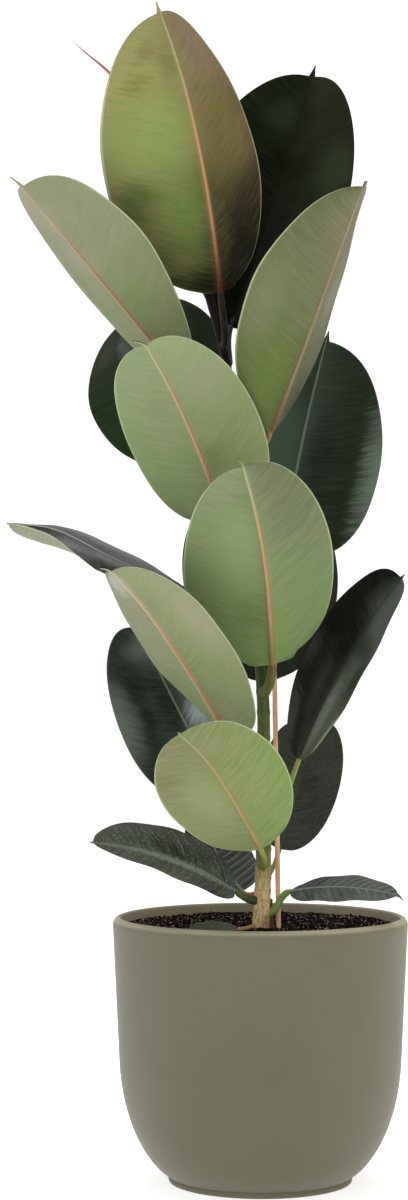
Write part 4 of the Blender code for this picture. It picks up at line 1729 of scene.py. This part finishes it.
LEAVES = (
    Leaf(1, 0.705, (-0.033, -0.033, 0.748), (-0.083, -0.130, 0.9674), 0.156, 63, 13, lift=-0.009,
         sway=-0.003, heel=0.44, toe=0.47, twist=20, cup=0.17, drip=0.0085, neck=0.0021,
         wander=(0.5, 0.3, -0.7, -1.6, 0.0), tone=LeafTone(
             # the dark first heel quarter is painted shade
             under=quarters((30, 30, 16), (86, 102, 50), (118, 101, 74), (132, 136, 84)),
             under_washes=(
                 Wash(0.52, -0.45, 0.30, 0.7, srgb(106, 98, 52), 0.8),
                 Wash(0.86, -0.60, 0.20, 0.5, srgb(124, 108, 86), 0.7),
                 Wash(0.58, 0.45, 0.26, 0.7, srgb(122, 138, 78), 0.9),
                 Wash(0.80, 0.14, 0.12, 0.2, srgb(104, 110, 60), 0.6),
                 Wash(0.86, 0.50, 0.05, 0.3, srgb(108, 98, 58), 0.6, 2.4),
                 Wash(0.77, 0.62, 0.05, 0.3, srgb(106, 108, 58), 0.6, 2.4),
                 Wash(0.38, 0.75, 0.12, 0.4, srgb(66, 88, 38), 0.7, 1.5),
                 Wash(0.30, 0.30, 0.20, 0.4, srgb(98, 124, 58), 0.7, 1.5),
                 # painted shadow over the first side's lower half, and painted shade at the blade's
                 # base
                 Wash(0.14, -0.60, 0.30, 0.9, srgb(24, 26, 11), 0.88, 0.25),
                 Wash(0.02, 0.00, 0.12, 1.8, srgb(16, 20, 7), 0.9, 0.4)),
             blush=srgb(138, 106, 72), blushing=0.26, veining=0.06, rib=srgb(182, 106, 72),
             rib_foot=srgb(96, 30, 20), rib_tip=srgb(134, 136, 86),
             gloss=0.05, stalk=srgb(16, 8, 7), stalk_end=srgb(30, 10, 8), pits=0.6)),
    Leaf(2, 0.690, (-0.025, 0.006, 0.724), (0.050, 0.104, 0.972), 0.146, 33, 24, lift=-0.005,
         sway=0.002, twist=-21, cup=0.06, neck=0.003, tone=LeafTone(
             upper=quarters((6, 8, 2), (10, 16, 4), (14, 22, 5), (26, 31, 14)),
             upper_washes=(
                 # the first two washes are painted sheen
                 Wash(0.79, -0.30, 0.09, 0.40, srgb(44, 58, 36), 0.45, 2.4),
                 Wash(0.58, 0.75, 0.16, 0.40, srgb(40, 52, 28), 0.7, 2.0),
                 Wash(0.50, 0.15, 0.16, 0.25, srgb(8, 18, 3), 0.7)),
             groove=srgb(20, 20, 12), streaking=0.10, sheen=0.05, dust=all_over(0.02),
             stalk=srgb(40, 20, 18), stalk_end=srgb(56, 32, 24))),
    Leaf(3, 0.640, (-0.051, -0.048, 0.658), (-0.199, -0.132, 0.827), 0.110, 23, 30, lift=0.001,
         sway=-0.001, heel=0.85, toe=0.41, twist=-26, cup=-0.08, neck=0.0022, hook=(0.25, 0.0, 0.0),
         wander=(1.4, 1.2, 0.8, 0.0, -0.4), keel=1.15, tone=LeafTone(
             under=quarters((102, 112, 72), (106, 118, 80), (116, 121, 92), (130, 128, 108)),
             under_washes=(
                 Wash(0.40, -0.30, 0.30, 0.5, srgb(106, 122, 76), 0.7),
                 Wash(0.70, 0.65, 0.20, 0.5, srgb(114, 120, 92), 0.6, 1.6),
                 Wash(0.45, 0.75, 0.25, 0.3, srgb(104, 116, 80), 0.7, 1.6)),
             blushing=0.16, veining=0.04, rib=srgb(152, 116, 92), rib_foot=srgb(140, 84, 64),
             rib_tip=srgb(158, 150, 128), rib_weight=0.65, halo=0.4)),
    Leaf(4, 0.600, (0.009, -0.045, 0.629), (0.086, -0.140, 0.820), 0.120, 8, 26, heel=0.59,
         toe=0.54, twist=18, cup=0.09, drip=0.005, neck=0.0006, wander=(-0.6, -1.0, 0.0, 2.0, 4.0),
         keel=0.85, tone=LeafTone(
             # the dark first heel quarter is painted shade
             under=quarters((58, 66, 34), (84, 102, 50), (116, 112, 92), (82, 88, 58)),
             under_washes=(
                 Wash(0.80, -0.35, 0.18, 0.7, srgb(104, 92, 66), 0.7, 1.6),
                 Wash(0.52, -0.60, 0.16, 0.5, srgb(118, 120, 96), 0.7, 1.6),
                 Wash(0.50, 0.75, 0.26, 0.4, srgb(104, 110, 78), 0.7, 1.6),
                 Wash(0.20, 0.35, 0.25, 0.4, srgb(86, 106, 50), 0.6),
                 # painted shade at the first side's heel
                 Wash(0.08, -0.80, 0.14, 0.5, srgb(32, 44, 32), 0.7)),
             blushing=0.08, veining=0.045, rib=srgb(116, 70, 46), rib_foot=srgb(114, 60, 38),
             rib_tip=srgb(112, 102, 74), rib_weight=0.75, halo=0.3,
             stalk=srgb(108, 80, 42))),
    Leaf(5, 0.625, (-0.031, 0.015, 0.654), (-0.132, 0.175, 0.752), 0.145, -71, 4, lift=0.018,
         sway=-0.013, heel=0.32, toe=0.54, twist=20, tone=LeafTone(
             upper=quarters((26, 42, 13), (18, 28, 8), (18, 30, 7), (22, 30, 14)),
             upper_washes=(
                 # painted sheen: a broad patch and a curved line near the midrib
                 Wash(0.82, -0.50, 0.10, 0.4, srgb(44, 50, 40), 0.6, 2.0),
                 Wash(0.74, -0.05, 0.12, 0.2, srgb(74, 78, 74), 0.7, 2.0)),
             streaking=0.10, sheen=0.05, dust=all_over(0.02))),
    Leaf(6, 0.545, (-0.025, -0.055, 0.559), (-0.094, -0.174, 0.690), 0.113, 32, 15, lift=0.024,
         heel=0.31, toe=0.57, cup=0.16, hook=(0.55, 0.2, 0.25), wander=(5.0, 1.8, -0.7, -1.4, -1.5),
         tone=LeafTone(
             under=quarters((114, 131, 81), (117, 139, 89), (130, 146, 105), (121, 137, 98)),
             under_washes=(
                 Wash(0.60, -0.50, 0.25, 0.6, srgb(133, 140, 106), 0.6, 1.6),
                 Wash(0.55, 0.35, 0.12, 0.4, srgb(122, 128, 94), 0.5, 1.6),
                 # painted shade beside the midrib near the base
                 Wash(0.24, -0.15, 0.12, 0.3, srgb(92, 108, 58), 0.4)),
             rib=srgb(182, 136, 106), rib_foot=srgb(140, 66, 54), rib_tip=srgb(166, 164, 124))),
    Leaf(7, 0.510, (0.021, 0.020, 0.541), (0.064, 0.184, 0.744), 0.150, 36, 7, lift=-0.010,
         heel=0.41, toe=0.49, twist=-35, neck=0.003, tone=LeafTone(
             # the teal first-side quarters are painted sheen
             upper=quarters((38, 52, 44), (12, 22, 8), (34, 46, 32), (17, 28, 11)),
             upper_washes=(
                 # the first and last washes are painted sheen, on the first side and along the
                 # second side's edge
                 Wash(0.45, -0.30, 0.35, 0.6, srgb(50, 66, 54), 0.8),
                 Wash(0.45, 0.25, 0.30, 0.35, srgb(10, 17, 6), 0.8),
                 Wash(0.46, 1.00, 0.36, 0.36, srgb(92, 106, 92), 0.9, 1.9)),
             line=srgb(70, 84, 64), groove=srgb(84, 102, 80), streaking=0.12, dust=all_over(0.02))),
    Leaf(8, 0.412, (0.010, -0.055, 0.436), (-0.014, -0.203, 0.5965), 0.128, 21, 13, sway=-0.004,
         heel=0.33, toe=0.51, twist=-2, cup=0.11, hook=(0.2, 0.3, 0.55),
         wander=(0.0, -0.9, -1.7, -1.0, 1.3), keel=1.15, petiole=1.5, tone=LeafTone(
             under=quarters((100, 125, 77), (106, 132, 71), (86, 94, 65), (108, 123, 85)),
             under_washes=(
                 Wash(0.70, -0.60, 0.25, 0.6, srgb(94, 100, 73), 0.6, 1.6),
                 Wash(0.55, 0.35, 0.30, 0.5, srgb(118, 141, 91), 0.7),
                 # painted shade on the second side's lower part
                 Wash(0.24, 0.20, 0.14, 0.4, srgb(84, 102, 50), 0.5)),
             blush=srgb(126, 122, 92), veining=0.09, rib=srgb(170, 120, 80),
             rib_foot=srgb(126, 106, 50), rib_tip=srgb(140, 148, 104),
             stalk=srgb(88, 94, 36), stalk_end=srgb(100, 84, 38))),
    Leaf(9, 0.470, (-0.047, -0.020, 0.486), (-0.211, -0.048, 0.552), 0.095, -17, 4, lift=0.007,
         heel=0.48, twist=-8, cup=-0.07, drip=0.002, trough=Trough(), tone=LeafTone(
             under=all_over(srgb(123, 128, 108)),
             # the grey second-side quarters are painted sheen
             upper=quarters((28, 32, 27), (68, 68, 67), (28, 34, 26), (48, 48, 48)),
             upper_washes=(
                 # the pale washes are painted sheen, the last a painted highlight along the midrib
                 Wash(0.60, -0.26, 0.36, 0.36, srgb(94, 98, 96), 0.8),
                 Wash(0.62, -0.88, 0.36, 0.34, srgb(20, 28, 16), 0.8),
                 Wash(0.50, 0.80, 0.35, 0.45, srgb(106, 104, 105), 0.8),
                 Wash(0.74, 0.40, 0.09, 0.40, srgb(32, 32, 34), 0.8, 1.6),
                 Wash(0.68, 0.03, 0.34, 0.07, srgb(140, 144, 145), 0.95)),
             # pale lines and groove: painted glints and a painted highlight along the midrib
             line=srgb(128, 130, 124), groove=srgb(142, 146, 144), streaking=0.22,
             dust=all_over(0.10))),
    Leaf(10, 0.350, (-0.022, -0.065, 0.378), (-0.124, -0.159, 0.5135), 0.106, 8, 8, lift=-0.004,
         sway=-0.011, heel=0.48, toe=0.44, twist=24, cup=-0.02, curl=(0.0, 0.87), drip=0.008,
         hook=(0.7, 0.0, 0.2), wander=(8.0, 3.9, -0.3, -4.1, -2.5), keel=1.25, tone=LeafTone(
             under=quarters((118, 134, 84), (95, 111, 69), (122, 130, 94), (104, 111, 80)),
             under_washes=(
                 Wash(0.90, 0.30, 0.12, 0.5, srgb(156, 158, 146), 0.7, 1.6),
                 Wash(0.60, -0.75, 0.22, 0.4, srgb(140, 138, 112), 0.6, 1.6)),
             rib=srgb(164, 130, 96), rib_foot=srgb(172, 124, 86), rib_tip=srgb(166, 160, 138),
             rib_weight=0.6, halo=0.5)),
    Leaf(11, 0.300, (-0.033, 0.030, 0.327), (-0.111, 0.107, 0.473), 0.105, -53, 22, lift=0.028,
         heel=0.37, toe=0.54, twist=40, cup=0.25, tone=LeafTone(
             # the pale second-side quarters are painted sheen
             upper=quarters((26, 34, 23), (88, 100, 90), (19, 29, 16), (60, 74, 54)),
             upper_washes=(
                 # a painted sheen patch, a painted highlight along the first side's edge, and
                 # painted glints on the second side
                 Wash(0.76, -0.45, 0.08, 0.4, srgb(60, 68, 60), 0.7, 1.8),
                 Wash(0.42, -1.02, 0.26, 0.48, srgb(102, 112, 104), 0.9, 1.3),
                 Wash(0.45, -0.12, 0.35, 0.30, srgb(16, 24, 12), 0.8),
                 Wash(0.34, 0.40, 0.10, 0.45, srgb(150, 160, 158), 0.8, 2.0)),
             line=srgb(92, 104, 92), groove=srgb(106, 120, 96), streaking=0.10,
             dust=all_over(0.06))),
    Leaf(12, 0.266, (0.000, -0.075, 0.285), (-0.062, -0.229, 0.3835), 0.102, 31, 10, lift=0.009,
         sway=-0.003, heel=0.43, toe=0.57, twist=11, cup=-0.03, drip=0.0035, neck=0.0009,
         hook=(0.0, 0.4, 0.6), wander=(0.0, -0.4, -1.3, -1.5, 0.7), keel=1.05, tone=LeafTone(
             under=quarters((104, 130, 69), (115, 127, 81), (102, 114, 68), (108, 111, 75)),
             under_washes=(
                 Wash(0.38, 0.35, 0.30, 0.5, srgb(130, 138, 100), 0.7, 1.6),
                 Wash(0.65, 0.85, 0.30, 0.35, srgb(104, 106, 72), 0.6, 1.6)),
             veining=0.13, rib=srgb(148, 108, 72), rib_foot=srgb(154, 126, 76),
             rib_tip=srgb(130, 138, 90), rib_weight=0.75, halo=0.12,
             stalk=srgb(118, 136, 56), stalk_end=srgb(140, 148, 72))),
    Leaf(13, 0.300, (0.033, -0.004, 0.355), (0.122, -0.017, 0.511), 0.097, 40, 14, lift=0.003,
         sway=-0.008, heel=0.56, toe=0.34, twist=-14, cup=-0.03, drip=0.004, leave=(1.0, -0.2),
         neck=0.0022, tone=LeafTone(
             # the pale second-side quarters are painted sheen
             upper=quarters((30, 32, 27), (84, 90, 77), (20, 23, 17), (80, 86, 80)),
             upper_washes=(
                 Wash(0.66, -0.50, 0.24, 0.9, srgb(10, 12, 6), 0.9),
                 # painted sheen streaks near the first side's edge, then a painted highlight band
                 # on the second side
                 Wash(0.48, -1.00, 0.14, 0.4, srgb(62, 66, 56), 0.8, 2.0),
                 Wash(0.18, -0.90, 0.20, 0.4, srgb(80, 82, 77), 0.7, 2.0),
                 Wash(0.21, 0.28, 0.30, 0.36, srgb(118, 122, 114), 0.9),
                 Wash(0.45, 0.85, 0.22, 0.35, srgb(40, 52, 32), 0.8),
                 Wash(0.62, 0.50, 0.10, 0.60, srgb(38, 44, 34), 0.7),
                 Wash(0.13, 1.00, 0.18, 0.18, srgb(150, 162, 132), 1.0),
                 Wash(0.45, -0.12, 0.45, 0.26, srgb(12, 14, 8), 0.7)),
             line=srgb(78, 80, 74), groove=srgb(48, 50, 34), streaking=0.05, sheen=0.04,
             dust=all_over(0.01), stalk=srgb(118, 124, 56), stalk_end=srgb(130, 136, 64))),
    Leaf(14, 0.395, (0.002, 0.027, 0.421), (-0.002, 0.129, 0.608), 0.138, 3, 10, lift=0.003,
         sway=-0.002, heel=0.46, toe=0.49, twist=-11, cup=0.09, tone=LeafTone(
             upper=all_over(srgb(42, 46, 36)))),
    Leaf(15, 0.257, (0.017, 0.040, 0.276), (0.050, 0.099, 0.390), 0.072, 29, 17, lift=0.018,
         sway=0.002, heel=0.44, twist=-21, cup=0.09, drip=0.008, tone=LeafTone(
             upper=all_over(srgb(46, 48, 44)),
             dust=all_over(0.10), specks=0.10)),
    Leaf(16, 0.238, (-0.021, -0.040, 0.247), (-0.139, -0.082, 0.290), 0.072, -33, 10, lift=0.008,
         sway=0.003, heel=0.42, toe=0.49, twist=11, drip=0.003, petiole=1.5, quilt=0.8,
         quilting=3.0, tone=LeafTone(
             upper=quarters((40, 44, 32), (24, 33, 16), (42, 50, 42), (26, 34, 22)),
             upper_washes=(
                 # painted sheen on the second side, and a painted highlight along the midrib
                 Wash(0.50, 0.80, 0.40, 0.40, srgb(74, 76, 70), 0.6, 2.4),
                 Wash(0.52, -0.10, 0.80, 0.22, srgb(132, 140, 132), 0.8, 2.6)),
             line=srgb(122, 130, 122), groove=srgb(112, 118, 110), streaking=0.1,
             crossing=Quarters(0.2, 0.0, 0.2, 0.0), groove_width=1.1,
             dust=Quarters(0.28, 0.22, 0.34, 0.28), stalk=srgb(26, 36, 18),
             stalk_end=srgb(62, 82, 36), specks=0.6)),
    Leaf(17, 0.228, (0.026, -0.030, 0.246), (0.118, -0.063, 0.244), 0.052, 19, 2, lift=0.006,
         heel=0.48, toe=0.51, twist=-7, cup=-0.08, drip=0.006, neck=0.0035, hook=(0.0, -0.5, 0.0),
         petiole=1.6, quilt=0.8, quilting=3.0, tone=LeafTone(
             upper=quarters((34, 40, 34), (38, 46, 38), (36, 42, 36), (24, 29, 23)),
             line=srgb(134, 142, 134), groove=srgb(132, 138, 130), streaking=0.15,
             crossing=Quarters(0.5, 0.06, 0.5, 0.12), groove_width=1.5,
             dust=Quarters(0.15, 0.34, 0.15, 0.30), stalk=srgb(108, 130, 60),
             stalk_end=srgb(104, 132, 66), specks=0.2)),
    Leaf(18, 0.243, (-0.016, -0.002, 0.244), (-0.056, 0.070, 0.311), 0.060, -1, 12, lift=-0.006,
         heel=0.46, toe=0.52, twist=5, drip=0.008, quilt=0.7, quilting=3.0, tone=LeafTone(
             upper=quarters((24, 34, 18), (14, 15, 10), (28, 38, 25), (20, 24, 19)),
             line=srgb(118, 124, 116), groove=srgb(120, 126, 116),
             crossing=Quarters(0.12, 0.5, 0.12, 0.5), groove_width=1.4, dust=all_over(0.08),
             stalk=srgb(140, 76, 52))),
    Leaf(19, 0.2165, (-0.019, -0.046, 0.2158), (-0.063, -0.056, 0.2146), 0.034, -9, 12, heel=0.48,
         drip=0.004, tone=LeafTone(
             upper=all_over(srgb(62, 62, 46)),
             dust=all_over(0.15), stalk=srgb(176, 140, 96), stalk_end=srgb(170, 132, 88))),
)


# ---------------------------------------------------------------- studio


def aimed(name: str, data: bpy.types.ID, place: Triple, aim: Triple) -> bpy.types.Object:
    """Put a light or camera in the scene.

    Args:
        name: its name.
        data: the light or camera.
        place: where it stands.
        aim: the point that it looks at.

    Returns:
        Its object.
    """
    item = bpy.data.objects.new(name, data)
    item.location = place
    item.rotation_euler = (Vector(aim) - item.location).to_track_quat("-Z", "Y").to_euler()
    bpy.context.scene.collection.objects.link(item)
    return item


@dataclass(frozen=True)
class Softbox:
    """A square studio light."""
    name: str
    place: Triple
    aim: Triple
    size: float
    power: float
    colour: Triple = WHITE

    def build(self) -> None:
        """Add the light."""
        lamp = bpy.data.lights.new(self.name, "AREA")
        lamp.shape = "SQUARE"
        lamp.size = self.size
        lamp.energy = self.power
        lamp.color = self.colour
        aimed(self.name, lamp, self.place, self.aim)


@dataclass
class Studio:
    """White room, pale floor, soft lights and the camera."""
    eye: Triple = (0.0, -2.105, 0.436)
    aim: Triple = (-0.0476, 0.0, 0.490)
    lens: float = 74.28
    floor_size: float = 60.0
    seen: float = 1.1
    back: float = 0.60
    front: float = 0.06
    dim_to: float = -0.55
    bright_from: float = 0.45
    near_glow: float = 0.65
    far_glow: float = 0.76
    glow_reach: tuple = (0.15, 0.9)
    boxes: tuple = (
        Softbox("left_box", (-1.0, -2.8, 0.9), (0.0, 0.0, 0.5), 2.4, 40.0),
        Softbox("right_box", (1.3, -2.7, 0.9), (0.0, 0.0, 0.5), 2.2, 23.0),
        Softbox("left_side", (-2.2, -0.3, 0.4), (0.0, 0.0, 0.4), 1.4, 11.0),
        Softbox("right_side", (2.2, -0.3, 0.4), (0.0, 0.0, 0.4), 1.4, 12.0, (1.0, 0.89, 0.68)),
        Softbox("top_box", (0.0, 0.5, 2.6), (0.0, 0.0, 0.4), 1.6, 50.0),
    )

    def camera(self) -> None:
        """Set up the camera, with no shift and everything sharp."""
        data = bpy.data.cameras.new("camera")
        data.sensor_width = 36.0
        data.lens = self.lens
        bpy.context.scene.camera = aimed("camera", data, self.eye, self.aim)

    def world(self) -> None:
        """A white room whose front half is dim, though the camera always sees it white."""
        world = bpy.data.worlds.new("white_room")
        graph = Graph(world)
        around = graph.add("ShaderNodeTexCoord").outputs["Generated"]
        depth = graph.add("ShaderNodeSeparateXYZ", {}, {0: around}).outputs["Y"]
        room = graph.add("ShaderNodeMapRange", {"interpolation_type": "SMOOTHSTEP"},
                         {"Value": depth, "From Min": self.dim_to, "From Max": self.bright_from,
                          "To Min": self.front, "To Max": self.back}).outputs["Result"]
        direct = graph.add("ShaderNodeLightPath").outputs["Is Camera Ray"]
        strength = graph.add("ShaderNodeMix", {"data_type": "FLOAT"},
                             {0: direct, 2: room, 3: self.seen}).outputs[0]
        glow = graph.add("ShaderNodeBackground", {}, {"Color": WHITE, "Strength": strength})
        graph.add("ShaderNodeOutputWorld", {}, {"Surface": glow.outputs[0]})
        bpy.context.scene.world = world

    def floor(self) -> None:
        """A pale matte floor that glows a little, more so away from the pot, to stay even."""
        half = self.floor_size / 2
        corners = np.array([(-half, -half, 0), (half, -half, 0), (half, half, 0), (-half, half, 0)])
        item = new_object("studio_floor", corners, [(0, 1, 2, 3)])
        board = Board("floor_paper")
        place = board.place()
        gap = board.add("ShaderNodeVectorMath", {"operation": "LENGTH"}, {0: place})
        far = Field(board, gap.outputs["Value"]).rise(*self.glow_reach)
        grain = board.noise(place, 300.0, 2.0)
        paper = board.mix(grain, srgb(229, 229, 229), srgb(232, 232, 232))
        glow = board.mix(far, (self.near_glow,) * 3, (self.far_glow,) * 3)
        item.data.materials.append(board.dress(Base_Color=paper, Roughness=0.85 + grain * 0.1,
                                               Emission_Color=glow, Emission_Strength=1.0))

    def build(self) -> None:
        """Make the studio."""
        self.camera()
        self.world()
        self.floor()
        for box in self.boxes:
            box.build()
        bpy.context.scene.view_settings.view_transform = "Standard"


def main() -> None:
    """Build every piece round the frame."""
    logging.basicConfig(level=logging.INFO, format="%(message)s")
    Studio().build()
    pot = Pot()
    pot.build()
    Soil(pot).build()
    stem = Stem()
    stem.build()
    Stake().build()
    Stub().build()
    Sheath().build()
    for leaf in LEAVES:
        leaf.build(stem)
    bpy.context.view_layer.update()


if __name__ == "__main__":
    main()
